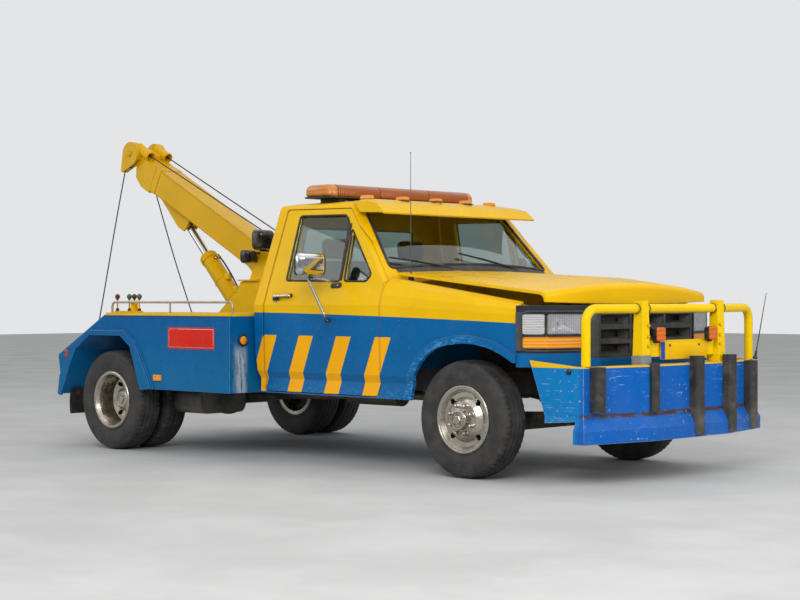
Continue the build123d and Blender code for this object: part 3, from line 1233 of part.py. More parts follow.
def rear_rims(side, x, y):
    """The outer wheel's deep dish with its hub cap, bolted back to back with the inner wheel."""
    dish = [(RIM_RADIUS, DISC), (RIM_RADIUS, DISC + 6), (RIM_RADIUS - 22, DISC + 6),
            (RIM_RADIUS - 36, DISC - 20), (RIM_RADIUS - 40, -60), (130, -95), (88, -95), (84, -20), (60, 0),
            (0, 6), (0, 15 - HUB_REACH), (110, 15 - HUB_REACH), (130, 10 - HUB_REACH),
            (RIM_RADIUS - 30, -84), (RIM_RADIUS - 30, DISC - 40), (RIM_RADIUS - 13, DISC - 22),
            (RIM_RADIUS - 13, DISC)]
    inner = [(radius, out - DUAL_SPACING) for radius, out in reversed(well(RIM_RADIUS - 40))]
    disc = [(RIM_RADIUS - 22, DISC - DUAL_SPACING), (RIM_RADIUS - 40, DISC - 40 - DUAL_SPACING),
            (110, 15 - HUB_REACH), (60, 15 - HUB_REACH), (60, -HUB_REACH), (110, -HUB_REACH),
            (RIM_RADIUS - 40, 20 - DUAL_SPACING)]
    with BuildPart() as pair:
        add(wheel_ring(dish, side, x, y))
        add(wheel_ring(inner + disc, side, x, y))
        with BuildSketch(side_plane(y + 400)):
            with Locations((x, TYRE_RADIUS)):
                with PolarLocations(157, 4, 45):
                    Circle(19)
        extrude(amount=800, mode=Mode.SUBTRACT)
    return pair.part


def knuckle():
    """The left steering knuckle: kingpin, yoke, brake disc and stub axle."""
    stub_end = FRONT_TRACK / 2 + DISC - HUB_FACE - SEAT_GAP
    with BuildPart() as piece:
        with Locations((FRONT_AXLE, KINGPIN_Y, TYRE_RADIUS)):
            Cylinder(KINGPIN_RADIUS, 190)
        for z in (320, 452):
            with Locations((FRONT_AXLE, KINGPIN_Y + 20, z)):
                Box(70, 84, 32)
        with Locations((FRONT_AXLE, KINGPIN_Y + 62, TYRE_RADIUS)):
            Box(70, 20, 164)
        with Locations(axle_line(FRONT_AXLE, KINGPIN_Y + 84, TYRE_RADIUS)):
            Cylinder(150, 26)
        with Locations(axle_line(FRONT_AXLE, (KINGPIN_Y + 60 + stub_end) / 2, TYRE_RADIUS)):
            Cylinder(34, stub_end - KINGPIN_Y - 60)
    save_pair(piece.part, "knuckle")


def wheels():
    for side, name in ((-1, "right"), (1, "left")):
        y = side * FRONT_TRACK / 2
        save(tyre(FRONT_AXLE, y), f"tyre_front_{name}")
        save(front_rim(side, FRONT_AXLE, y), f"rim_front_{name}")
        y = side * REAR_OUTER_TRACK / 2
        pair = [tyre(REAR_AXLE, y), tyre(REAR_AXLE, y - side * DUAL_SPACING)]
        save(Compound(children=pair), f"tyres_rear_{name}")
        save(rear_rims(side, REAR_AXLE, y), f"rims_rear_{name}")


def cabin():
    """Bench seat with headrests, dashboard and steering wheel."""
    seat_front, seat_back, seat_half = -1320, -1800, 740
    with BuildPart() as seat:
        block((fx(seat_back), -seat_half, CAB_FLOOR + 60), (fx(seat_front), seat_half, CAB_FLOOR + 260))
        block((fx(seat_back + 60), -600, CAB_FLOOR + 15), (fx(seat_front - 60), 600, CAB_FLOOR + 75))
        with BuildSketch(side_plane(seat_half)):
            outline(ahead([(-1780, 950), (-1640, 950), (-1720, 1450), (-1800, 1450)]))
        extrude(amount=2 * seat_half)
        for side in (-1, 1):
            block((fx(-1810), side * 400 - 140, 1440), (fx(-1720), side * 400 + 140, 1620))
    save(seat.part, "seat")
    tilt = 30  # the column's slope below level
    hub = Vector(fx(-1130), 400, 1245)
    down = Vector(cos(radians(tilt)), 0, -sin(radians(tilt)))
    with BuildPart() as wheel:
        with Locations(Plane(origin=hub, z_dir=down)):
            Torus(190, 14)
            Cylinder(45, 50)
            Box(30, 370, 14)
        with BuildSketch(Plane(origin=hub, z_dir=down)):
            Circle(28)
        extrude(amount=200)
    save(wheel.part, "steering_wheel")
    with BuildPart() as dash:
        with BuildSketch(side_plane(850)):
            outline(ahead([(-711, 1000), (-900, 1000), (-960, 1140), (-945, 1230), (-860, 1262),
                           (-780, 1250), (-711, 1200)]))
        extrude(amount=1700)
        add(wheel.part, mode=Mode.SUBTRACT)
    save(dash.part, "dashboard")


chassis_frame()
axles()
springs()
running_gear()
cab_outer = cab_form(0)
cab(cab_outer)
doors(cab_outer)
mirrors(cab_outer)
fenders()
hood()
turn_lamp = nose()
bumper()
bull_bar()
visor_shade = visor(cab_outer)
roof_gear(cab_outer, visor_shade, turn_lamp)
wrecker_body()
rails()
tower()
boom()
winches()
lift_cylinder()
work_lamps()
wheels()
knuckle()
cabin()
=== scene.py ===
"""Looks of the recovery truck: its paint, tyres, lamps, glass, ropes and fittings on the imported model."""

import json
from math import atan2, ceil, cos, pi, radians, sin

import bmesh
import bpy
from mathutils import Matrix, Vector


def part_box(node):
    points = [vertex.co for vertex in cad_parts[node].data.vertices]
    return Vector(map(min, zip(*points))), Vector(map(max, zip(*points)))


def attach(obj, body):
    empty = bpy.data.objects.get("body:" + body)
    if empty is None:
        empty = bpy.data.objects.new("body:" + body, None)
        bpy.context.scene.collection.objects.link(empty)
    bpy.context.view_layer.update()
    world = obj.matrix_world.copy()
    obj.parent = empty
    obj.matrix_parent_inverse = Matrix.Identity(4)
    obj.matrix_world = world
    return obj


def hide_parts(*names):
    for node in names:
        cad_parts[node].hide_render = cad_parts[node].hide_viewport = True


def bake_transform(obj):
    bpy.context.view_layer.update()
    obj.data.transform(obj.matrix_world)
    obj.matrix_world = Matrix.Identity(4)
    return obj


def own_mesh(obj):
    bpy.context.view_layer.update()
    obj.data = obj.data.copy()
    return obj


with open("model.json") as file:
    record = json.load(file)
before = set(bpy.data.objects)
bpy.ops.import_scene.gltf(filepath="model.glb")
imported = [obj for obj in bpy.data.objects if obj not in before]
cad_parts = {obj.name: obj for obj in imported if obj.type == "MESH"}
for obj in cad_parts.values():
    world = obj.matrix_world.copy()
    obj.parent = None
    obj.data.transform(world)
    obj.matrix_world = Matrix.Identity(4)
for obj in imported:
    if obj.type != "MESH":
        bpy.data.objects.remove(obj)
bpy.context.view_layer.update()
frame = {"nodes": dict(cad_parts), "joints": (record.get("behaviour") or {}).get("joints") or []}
nodes = frame["nodes"]
joint_places = {joint["name"]: Vector(joint["pos_m"]) for joint in frame["joints"]}

# Places that the pieces are worked out from, in metres: X forward, Y to the left, Z up.
FRONT_WHEEL = joint_places["spin_front_left"]
REAR_WHEEL = joint_places["spin_rear_left"]
PIVOT = joint_places["boom_hinge"]
CYLINDER_FOOT = joint_places["cylinder_hinge"]
BOOM_RISE = radians(27.7)
BOOM_DIR = Vector((-cos(BOOM_RISE), 0, sin(BOOM_RISE)))
BOOM_UP = Vector((sin(BOOM_RISE), 0, cos(BOOM_RISE)))
LEFT = Vector((0, 1, 0))
SIDES = ((1, "left"), (-1, "right"))


def fx(ahead):
    """X of a place that lies this far ahead of the front axle."""
    return FRONT_WHEEL.x + ahead


def rx(ahead):
    """X of a place that lies this far ahead of the rear axle."""
    return REAR_WHEEL.x + ahead


def on_boom(along, up, across=0.0):
    """A place given along the boom from its pivot, square above its line, and to the left."""
    return PIVOT + BOOM_DIR * along + BOOM_UP * up + LEFT * across


def color(code):
    """A colour that is written as on a paint card, as linear values with an alpha."""
    values = [int(code[place:place + 2], 16) / 255 for place in (0, 2, 4)]
    return [(v / 12.92 if v <= 0.04045 else ((v + 0.055) / 1.055) ** 2.4) for v in values] + [1.0]


YELLOW = color("f0bd00")
BLUE = color("0063a0")
LOCKER_BLUE = color("005f9c")
BUMPER_BLUE = color("005fb6")
# Painted light: a lighter copy of the bumper's blue for its side plate.
BUMPER_SIDE_LIT_BLUE = color("007abb")
PALE_BLUE = color("4f9fd0")
STRIPE = color("fdb303")
PRIMER = color("c9c4b6")
RUST = color("5a3019")
BARE_STEEL = color("8d8a84")
DUST = color("8f8575")


# Shader nodes: short ways to add and wire them.
def node(tree, kind, wires=None, **settings):
    """A shader node; wires maps its inputs to values or to the outputs of other nodes."""
    made = tree.nodes.new(kind)
    for name, value in settings.items():
        setattr(made, name, value)
    for name, value in (wires or {}).items():
        if isinstance(value, bpy.types.NodeSocket):
            tree.links.new(value, made.inputs[name])
        else:
            made.inputs[name].default_value = value
    return made


def tree_of(*values):
    """The node tree of the first socket among the values."""
    return next(value for value in values if isinstance(value, bpy.types.NodeSocket)).id_data


def calc(operation, *values):
    return node(tree_of(*values), "ShaderNodeMath", dict(enumerate(values)),
        operation=operation).outputs[0]


def times(*values):
    return calc("MULTIPLY", *values)


def plus(*values):
    return calc("ADD", *values)


def minus(*values):
    return calc("SUBTRACT", *values)


def most(*values):
    return calc("MAXIMUM", *values)


def mixed(share, first, second):
    """A colour between two others."""
    wires = {0: share, 6: first, 7: second}
    return node(tree_of(share, first, second), "ShaderNodeMix", wires, data_type="RGBA").outputs[2]


def ramp(value, low, high, start=0.0, end=1.0):
    """The value's place between low and high, smoothly, as a number from start to end."""
    wires = {"Value": value, "From Min": low, "From Max": high, "To Min": start, "To Max": end}
    return node(value.id_data, "ShaderNodeMapRange", wires, interpolation_type="SMOOTHSTEP").outputs[0]


def position(tree):
    return node(tree, "ShaderNodeTexCoord").outputs["Object"]


def axes(place):
    """The X, Y and Z of a place."""
    return node(place.id_data, "ShaderNodeSeparateXYZ", {0: place}).outputs


def stretched(place, scale):
    """The place with each of its axes scaled, so that a pattern draws out along one."""
    wires = {0: place, 1: scale}
    return node(place.id_data, "ShaderNodeVectorMath", wires, operation="MULTIPLY").outputs[0]


def noise(place, scale, detail=3.0, roughness=0.55):
    wires = {"Vector": place, "Scale": scale, "Detail": detail, "Roughness": roughness}
    return node(place.id_data, "ShaderNodeTexNoise", wires).outputs[0]


def bump(height, distance, strength, normal=None):
    wires = {"Height": height, "Distance": distance, "Strength": strength}
    if normal is not None:
        wires["Normal"] = normal
    return node(height.id_data, "ShaderNodeBump", wires).outputs[0]


def group(name, inputs, outputs, build):
    """A shader node group with named inputs and outputs, built once."""
    tree = bpy.data.node_groups.new(name, "ShaderNodeTree")
    for label, kind, value in inputs:
        socket = tree.interface.new_socket(label, in_out="INPUT", socket_type=kind)
        socket.default_value = value
    for label, kind in outputs:
        tree.interface.new_socket(label, in_out="OUTPUT", socket_type=kind)
    given = tree.nodes.new("NodeGroupInput").outputs
    result = tree.nodes.new("NodeGroupOutput").inputs
    for label, value in build(tree, given).items():
        tree.links.new(value, result[label])
    return tree


def effect(tree, made_group, **wires):
    """A placed node group; an input's name is written with underscores for its spaces."""
    placed = tree.nodes.new("ShaderNodeGroup")
    placed.node_tree = made_group
    for name, value in wires.items():
        name = name.replace("_", " ")
        if isinstance(value, bpy.types.NodeSocket):
            tree.links.new(value, placed.inputs[name])
        else:
            placed.inputs[name].default_value = value
    return placed.outputs


NUMBER, COLOUR, VECTOR = "NodeSocketFloat", "NodeSocketColor", "NodeSocketVector"


def build_edges(tree, given):
    """Where a surface turns over an edge, broken up so that it looks rubbed, not drawn."""
    rounded = node(tree, "ShaderNodeBevel", {"Radius": given["Width"]}, samples=4).outputs[0]
    flat = node(tree, "ShaderNodeNewGeometry").outputs["Normal"]
    along = node(tree, "ShaderNodeVectorMath", {0: rounded, 1: flat},
        operation="DOT_PRODUCT").outputs["Value"]
    turned = minus(1.0, along)
    speckle = noise(position(tree), given["Scale"], 4.0, 0.65)
    worn = plus(turned, times(minus(speckle, 0.5), 0.5))
    return {"Mask": times(ramp(worn, 0.07, 0.2), given["Amount"]), "Normal": rounded}


def build_chips(tree, given):
    """Small chips that come in clusters, and long thin level scratches."""
    place = position(tree)
    clusters = ramp(noise(place, 2.3, 2.0), 0.42, 0.68)
    spots = ramp(noise(place, given["Scale"], 5.0, 0.7), 0.64, 0.665)
    lines = noise(stretched(place, (1.3, 1.3, 42.0)), 5.0, 4.0, 0.7)
    gathered = ramp(noise(place, 3.1, 2.0), 0.45, 0.6)
    scratches = times(times(ramp(lines, 0.635, 0.655), gathered), given["Scratches"])
    chips = times(times(spots, clusters), given["Chips"])
    return {"Mask": most(chips, scratches)}


def build_dust(tree, given):
    """Road dust: thickest low down, thin and streaky above."""
    place = position(tree)
    height = axes(place)["Z"]
    low = ramp(height, given["High"], given["Low"])
    patchy = ramp(noise(place, 5.0, 5.0, 0.6), 0.3, 0.75)
    streaks = ramp(noise(stretched(place, (14.0, 14.0, 1.2)), 2.0, 3.0), 0.45, 0.8)
    cover = plus(times(low, patchy), times(streaks, 0.18))
    cover = times(cover, given["Amount"])
    return {"Color": mixed(cover, given["Color"], given["Dust Color"]), "Mask": cover}


def build_grain(tree, given):
    """Height of a fine moulded or cast surface."""
    place = position(tree)
    fine = noise(place, given["Scale"], 2.0)
    broad = noise(place, times(given["Scale"], 0.12), 3.0)
    return {"Height": plus(fine, times(broad, 0.6))}


EDGES = group("worn edges", [("Width", NUMBER, 0.006), ("Scale", NUMBER, 30.0), ("Amount", NUMBER, 1.0)],
    [("Mask", NUMBER), ("Normal", VECTOR)], build_edges)
CHIPS = group("paint chips", [("Scale", NUMBER, 60.0), ("Chips", NUMBER, 1.0), ("Scratches", NUMBER, 0.3)],
    [("Mask", NUMBER)], build_chips)
ROAD_DUST = group("road dust", [("Color", COLOUR, DUST), ("Dust Color", COLOUR, DUST),
    ("High", NUMBER, 0.9), ("Low", NUMBER, 0.2), ("Amount", NUMBER, 0.5)],
    [("Color", COLOUR), ("Mask", NUMBER)], build_dust)
GRAIN = group("grain", [("Scale", NUMBER, 300.0)], [("Height", NUMBER)], build_grain)


def material(name, base, roughness, metallic=0.0, **values):
    """A material and its node tree, with plain values on the shader's own sockets."""
    made = bpy.data.materials.new(name)
    made.use_nodes = True
    shader = made.node_tree.nodes["Principled BSDF"]
    shader.inputs["Base Color"].default_value = base
    shader.inputs["Roughness"].default_value = roughness
    shader.inputs["Metallic"].default_value = metallic
    for label, value in values.items():
        shader.inputs[label.replace("_", " ")].default_value = value
    return made, made.node_tree, shader.inputs


def wire(sockets, **wires):
    for name, value in wires.items():
        value.id_data.links.new(value, sockets[name.replace("_", " ")])


# Paint. Places in a colour scheme are the truck's own.
LINE_START, LINE_HEIGHT, LINE_FALL, LINE_BOW = fx(-1.87), 1.074, -0.01068, -0.00621
# The first stripe starts here at the crease under the door.
STRIPE_START, STRIPE_PITCH, STRIPE_WIDTH = fx(-2.005), 0.379, 0.146
STRIPE_LOW, STRIPE_CREASE, STRIPE_HIGH = 0.505, 0.643, 0.912
STRIPE_LEAN, STRIPE_LEAN_LOW = 0.43, 0.23
STRIPE_COUNT = 4
VALANCE_TOP, BUMPER_LIP, LOCKER_LIP, ARCH_Z = 0.826, 0.742, 1.0465, 0.40


def painted(name, base_of, wear=PRIMER, chips=0.5, scratches=0.15, edge=0.5, dust=0.06,
        chip_scale=60.0, gloss=0.3):
    """Enamel whose colour base_of gives, with rubbed edges, chips, scratches and road dust."""
    made, tree, sockets = material(name, YELLOW, gloss, Coat_Weight=0.05, Coat_Roughness=0.15,
        Specular_IOR_Level=0.12)
    edges = effect(tree, EDGES, Width=0.007, Amount=edge)
    spots = effect(tree, CHIPS, Chips=chips, Scratches=scratches, Scale=chip_scale)["Mask"]
    worn = most(edges["Mask"], spots)
    base = base_of(tree)
    tone = noise(position(tree), 1.7, 4.0)
    shaded = node(tree, "ShaderNodeHueSaturation",
        {"Color": base, "Value": ramp(tone, 0.3, 0.7, 0.94, 1.04)}).outputs[0]
    dirty = effect(tree, ROAD_DUST, Color=mixed(worn, shaded, wear), Dust_Color=DUST, Amount=dust)
    rough = plus(ramp(noise(position(tree), 9.0), 0.3, 0.7, gloss - 0.06, gloss + 0.1),
        times(most(worn, dirty["Mask"]), 0.4))
    ripple = minus(noise(position(tree), 260.0, 1.0), times(worn, 3.0))
    wire(sockets, Base_Color=dirty["Color"], Roughness=rough,
        Normal=bump(ripple, 0.0006, 0.25, edges["Normal"]))
    return made


def plain(shade):
    """A colour scheme of one colour."""
    def give(tree):
        made = node(tree, "ShaderNodeRGB")
        made.outputs[0].default_value = shade
        return made.outputs[0]
    return give


def below_line(tree):
    """1 below the line where the cab's yellow meets its blue."""
    x, _, z = axes(position(tree))
    along = minus(x, LINE_START)
    fall = times(along, calc("MULTIPLY_ADD", along, LINE_BOW, LINE_FALL))
    return calc("LESS_THAN", minus(z, fall), LINE_HEIGHT)


def stripes(tree):
    """1 on the four slanted stripes that cross the door and its edges."""
    x, y, z = axes(position(tree))
    up = minus(z, STRIPE_CREASE)
    lean = plus(times(most(up, 0.0), STRIPE_LEAN), times(calc("MINIMUM", up, 0.0), STRIPE_LEAN_LOW))
    turns = calc("DIVIDE", minus(minus(x, lean), STRIPE_START), STRIPE_PITCH)
    on = calc("LESS_THAN", calc("FRACT", turns), STRIPE_WIDTH / STRIPE_PITCH)
    for kept in (calc("GREATER_THAN", turns, 0.0), calc("LESS_THAN", turns, STRIPE_COUNT - 0.01),
            calc("GREATER_THAN", z, STRIPE_LOW), calc("LESS_THAN", z, STRIPE_HIGH),
            calc("GREATER_THAN", calc("ABSOLUTE", y), 0.93)):
        on = times(on, kept)
    return on


def scuffed_blue(tree):
    """The lower blue, faded and scuffed white round the front arch and along the sills."""
    x, _, z = axes(position(tree))
    across = minus(x, fx(0.0))
    up = minus(z, ARCH_Z)
    far = calc("SQRT", plus(times(across, across), times(up, up)))
    ring = times(ramp(far, 0.555, 0.50), calc("GREATER_THAN", x, fx(-0.7)))
    sill = ramp(z, 0.60, 0.53)
    rubbed = ramp(noise(stretched(position(tree), (3.0, 3.0, 9.0)), 9.0, 6.0, 0.7), 0.5, 0.6)
    share = times(most(ring, times(sill, 0.4)), rubbed)
    return mixed(times(share, 0.8), BLUE, PALE_BLUE)


def cab_colors(tree):
    upper = mixed(below_line(tree), YELLOW, scuffed_blue(tree))
    return mixed(stripes(tree), upper, STRIPE)


def nose_colors(tree):
    """Dark grey surround over a blue valance; the dark grey also covers the header under the hood lip,
    where it is painted shade for the gap there.
    """
    z = axes(position(tree))["Z"]
    return mixed(calc("LESS_THAN", z, VALANCE_TOP), color("2d3236"), BLUE)


def bumper_colors(tree):
    """Blue with a yellow top lip; a dark brown band along the fold is rust and painted shade under the
    fold, and the side plate's lighter blue is painted light.
    """
    x, _, z = axes(position(tree))
    # Rust along the fold, in a darker brown that adds painted shade under the fold.
    rust_and_fold_shade = times(times(ramp(z, 0.470, 0.450), ramp(z, 0.425, 0.437)),
        ramp(noise(stretched(position(tree), (1.0, 1.0, 5.0)), 11.0, 6.0, 0.75), 0.36, 0.52))
    rust_and_fold_shade = times(rust_and_fold_shade, ramp(x, fx(0.90), fx(1.0)))
    # Painted light: the side plate takes a lighter blue than the front, for the light that falls on it.
    side = ramp(x, fx(0.97), fx(0.93))
    blue = mixed(side, BUMPER_BLUE, BUMPER_SIDE_LIT_BLUE)
    top = calc("GREATER_THAN", z, BUMPER_LIP)
    return mixed(top, mixed(rust_and_fold_shade, blue, color("48342a")), YELLOW)


def locker_colors(tree):
    """Blue, lighter low down, with a yellow top lip; a streak behind the cab is rubbed grey."""
    x, y, z = axes(position(tree))
    out = calc("ABSOLUTE", y)
    streak = times(ramp(out, 1.03, 1.09), ramp(out, 1.20, 1.13))
    streak = times(streak, times(ramp(x, rx(1.38), rx(1.42)), ramp(z, 0.88, 0.76)))
    rubbed = ramp(noise(stretched(position(tree), (14.0, 14.0, 3.0)), 2.5, 6.0, 0.75), 0.4, 0.55)
    shade = mixed(ramp(z, 0.95, 0.55), LOCKER_BLUE, color("00699f"))
    blue = mixed(times(streak, rubbed), shade, color("a9bac4"))
    return mixed(calc("GREATER_THAN", z, LOCKER_LIP), blue, YELLOW)


yellow_paint = painted("yellow paint", plain(YELLOW), wear=RUST, chips=0.35, edge=0.3)
boom_paint = painted("boom paint", plain(color("e0ae00")), wear=RUST, chips=0.45, edge=0.4, dust=0.08)
bar_paint = painted("push bar paint", plain(color("f6cc00")), wear=RUST, chips=0.9, edge=0.3,
    chip_scale=45.0)
cab_paint = painted("cab paint", cab_colors, chips=0.25, scratches=0.1, edge=0.2, dust=0.08)
# Its dark grey is partly the surround's own colour and partly painted shade under the hood lip.
nose_finish = painted("nose finish", nose_colors, chips=0.15, scratches=0.05, edge=0.15, gloss=0.42)
bumper_paint = painted("bumper paint", bumper_colors, chips=1.0, scratches=1.0, edge=0.8, dust=0.08,
    chip_scale=38.0)
locker_paint = painted("locker paint", locker_colors, wear=color("9db4c4"), chips=0.3,
    scratches=0.2, edge=0.7)
stripe_red = painted("sign red", plain(color("dc2a1c")), chips=0.2, scratches=0.2, edge=0.1)
sign_white = painted("sign white", plain(color("e9e8e2")), chips=0.1, scratches=0.2, edge=0.1)
plate_yellow = painted("plate yellow", plain(color("eebb04")), wear=color("6f6a58"), chips=0.8,
    scratches=0.5, edge=0.3, dust=0.1)
plate_blue = painted("plate blue", plain(color("1c4fb4")), chips=0.3, scratches=0.2, edge=0.2)


def rough_metal(name, base, roughness, metallic, dust=0.5, grain=120.0, depth=0.0008,
        wear=BARE_STEEL, edge=0.3):
    made, tree, sockets = material(name, base, roughness, metallic)
    edges = effect(tree, EDGES, Width=0.004, Amount=edge)
    tone = noise(position(tree), 12.0, 5.0, 0.65)
    base_socket = mixed(ramp(tone, 0.35, 0.75, 0.0, 0.5), base, [v * 0.55 for v in base[:3]] + [1.0])
    dirty = effect(tree, ROAD_DUST, Color=mixed(edges["Mask"], base_socket, wear),
        Dust_Color=DUST, Amount=dust)
    height = effect(tree, GRAIN, Scale=grain)["Height"]
    wire(sockets, Base_Color=dirty["Color"], Roughness=plus(ramp(tone, 0.3, 0.7, roughness - 0.08,
        roughness + 0.12), times(dirty["Mask"], 0.3)), Normal=bump(height, depth, 0.5, edges["Normal"]))
    return made


chassis_black = rough_metal("chassis black", color("1d1e20"), 0.55, 0.0, dust=0.6)
cast_iron = rough_metal("cast iron", color("35322f"), 0.6, 0.5, grain=200.0, depth=0.0015)
pipe_steel = rough_metal("pipe steel", color("6a5a4c"), 0.5, 0.8, dust=0.5, wear=RUST)
rail_steel = rough_metal("rail steel", color("b9ab9c"), 0.42, 0.7, dust=0.1, wear=RUST, edge=0.15)
weld_rust = rough_metal("weld rust", color("3a241a"), 0.75, 0.2, grain=160.0, depth=0.0015, wear=RUST)
old_steel = rough_metal("old steel", color("6e6862"), 0.45, 0.9, dust=0.3, wear=RUST)
tank_black = rough_metal("tank black", color("202224"), 0.45, 0.0, dust=0.6)


def bright_metal(name, base, roughness, haze=0.12, dust=0.3):
    """Polished or chromed metal with fine haze and grime in its low places."""
    made, tree, sockets = material(name, base, roughness, 1.0)
    tone = noise(position(tree), 30.0, 5.0, 0.7)
    dirty = effect(tree, ROAD_DUST, Color=base, Dust_Color=color("6d6250"), Amount=dust,
        High=0.7, Low=0.25)
    rounded = effect(tree, EDGES, Width=0.004, Amount=0.0)["Normal"]
    wire(sockets, Base_Color=dirty["Color"],
        Roughness=plus(ramp(tone, 0.35, 0.75, roughness, roughness + haze), times(dirty["Mask"], 0.4)),
        Normal=bump(noise(position(tree), 90.0, 2.0), 0.0003, 0.3, rounded))
    return made


chrome = bright_metal("chrome", color("cfd1d3"), 0.08, dust=0.15)
tube_chrome = bright_metal("tube chrome", color("a3a4a5"), 0.22, dust=0.3)
wheel_chrome = bright_metal("wheel chrome", color("c4beb2"), 0.15, 0.18, dust=0.6)
polished_rod = bright_metal("polished rod", color("c9cbcd"), 0.1, 0.05, dust=0.1)
reflector = bright_metal("reflector", color("f4f5f8"), 0.38, 0.08, dust=0.0)


def moulded(name, base, roughness, grain=350.0, depth=0.0005, dust=0.3):
    """Moulded plastic or rubber with a fine grain."""
    made, tree, sockets = material(name, base, roughness)
    rounded = effect(tree, EDGES, Width=0.004, Amount=0.0)["Normal"]
    dirty = effect(tree, ROAD_DUST, Color=base, Dust_Color=DUST, Amount=dust)
    tone = noise(position(tree), 14.0, 4.0, 0.6)
    height = effect(tree, GRAIN, Scale=grain)["Height"]
    wire(sockets, Base_Color=mixed(ramp(tone, 0.4, 0.8, 0.0, 0.25), dirty["Color"], DUST),
        Roughness=ramp(tone, 0.3, 0.7, roughness - 0.07, roughness + 0.1),
        Normal=bump(height, depth, 0.6, rounded))
    return made


black_plastic = moulded("black plastic", color("17181a"), 0.5, dust=0.2)
grey_plastic = moulded("grey plastic", color("34383b"), 0.55)
seal_rubber = moulded("seal rubber", color("0d0d0e"), 0.5, grain=600.0, dust=0.1)
strip_rubber = moulded("strip rubber", color("1b1a1a"), 0.62, grain=120.0, depth=0.002, dust=0.35)
hose_rubber = moulded("hose rubber", color("111112"), 0.45, dust=0.1)
tape_grey = moulded("tape grey", color("7c868c"), 0.6, grain=60.0, depth=0.001)
dash_plastic = moulded("dash plastic", color("222427"), 0.6, dust=0.0)
knob_black = moulded("knob black", color("141414"), 0.3, dust=0.05)
knob_red = moulded("knob red", color("5a1512"), 0.35, dust=0.05)
knob_green = moulded("knob green", color("3f5548"), 0.35, dust=0.05)
gloss_black = moulded("gloss black", color("0b0b0c"), 0.16, grain=200.0, depth=0.0001, dust=0.0)
brass = bright_metal("brass", color("b3903a"), 0.25)


def tyre_rubber():
    """Tyre rubber, browned and dusty in random patches, with a fine grain."""
    made, tree, sockets = material("tyre rubber", color("2a2a2c"), 0.75)
    place = position(tree)
    tone = ramp(noise(place, 11.0, 6.0, 0.65), 0.35, 0.75)
    base = mixed(times(tone, 0.55), color("242426"), color("5c564d"))
    fine = noise(place, 240.0, 3.0, 0.6)
    wire(sockets, Base_Color=base, Roughness=ramp(tone, 0.0, 1.0, 0.68, 0.9),
        Normal=bump(fine, 0.001, 0.5))
    return made


def wire_rope():
    made, tree, sockets = material("wire rope", color("2b2825"), 0.5, 0.6)
    tone = noise(position(tree), 120.0, 3.0)
    wire(sockets, Base_Color=mixed(tone, color("171513"), color("5d564d")))
    return made


GLASS_IOR = 1.45


def window_glass(name, tint):
    """Thin tinted glass with patches of faint haze."""
    made, tree, sockets = material(name, tint, 0.0, Transmission_Weight=1.0, IOR=GLASS_IOR)
    wire(sockets, Roughness=ramp(noise(position(tree), 6.0, 5.0, 0.6), 0.45, 0.9, 0.0, 0.12))
    return made


def lamp_lens(name, base, ribs, spacing, clear=0.0, upright=False, glow=0.0):
    """A lamp's moulded lens with flutes, level or upright, over what shows through it; its colour is
    darkened in bands along the flutes as painted shade.
    """
    made, tree, sockets = material(name, base, 0.2, Transmission_Weight=clear, IOR=GLASS_IOR,
        Coat_Weight=0.15)
    x, y, z = axes(position(tree))
    along = plus(x, y) if upright else z
    wave = calc("SINE", times(along, 2 * pi / spacing))
    # Painted shade: the colour darkens in bands along the same wave that bumps the flutes.
    shade = mixed(ramp(wave, -1.0, 1.0, 0.0, 0.45), base, [v * 0.55 for v in base[:3]] + [1.0])
    wire(sockets, Base_Color=shade, Normal=bump(wave, ribs, 0.6))
    if glow:
        sockets["Emission Color"].default_value = base
        sockets["Emission Strength"].default_value = glow
    return made


def seat_cloth():
    """Woven seat cloth, paler in random patches."""
    made, tree, sockets = material("seat cloth", color("33353b"), 0.9, Sheen_Weight=0.3)
    place = position(tree)
    weave = node(tree, "ShaderNodeTexVoronoi", {"Vector": place, "Scale": 420.0}).outputs["Distance"]
    tone = noise(place, 8.0, 4.0)
    wire(sockets, Base_Color=mixed(ramp(tone, 0.4, 0.8, 0.0, 0.5), color("2a2c31"), color("51535a")),
        Normal=bump(weave, 0.001, 0.6))
    return made


tyre = tyre_rubber()
rope_steel = wire_rope()
screen_glass = window_glass("screen glass", color("e2efe9"))
side_glass = window_glass("side glass", color("c9dcd6"))
mirror_glass = bright_metal("mirror glass", color("dfe5e8"), 0.01, 0.02, dust=0.05)
head_lens = lamp_lens("head lens", color("f4f6fb"), 0.0006, 0.022, 0.8, upright=True)
side_lens = lamp_lens("side lens", color("f1efef"), 0.003, 0.0155, 0.4)
amber_lens = lamp_lens("amber lens", color("ffa200"), 0.001, 0.02, 0.1, glow=0.06)
bar_lens = lamp_lens("beacon lens", color("a8560f"), 0.001, 0.02, 0.0, upright=True)
fog_orange = lamp_lens("fog orange", color("e8701c"), 0.0006, 0.03, 0.0)
bar_end_lens = lamp_lens("beacon end lens", color("d8893c"), 0.001, 0.03, 0.0)
red_lens = lamp_lens("red lens", color("a80f0b"), 0.002, 0.012, 0.2, glow=0.05)
cloth = seat_cloth()


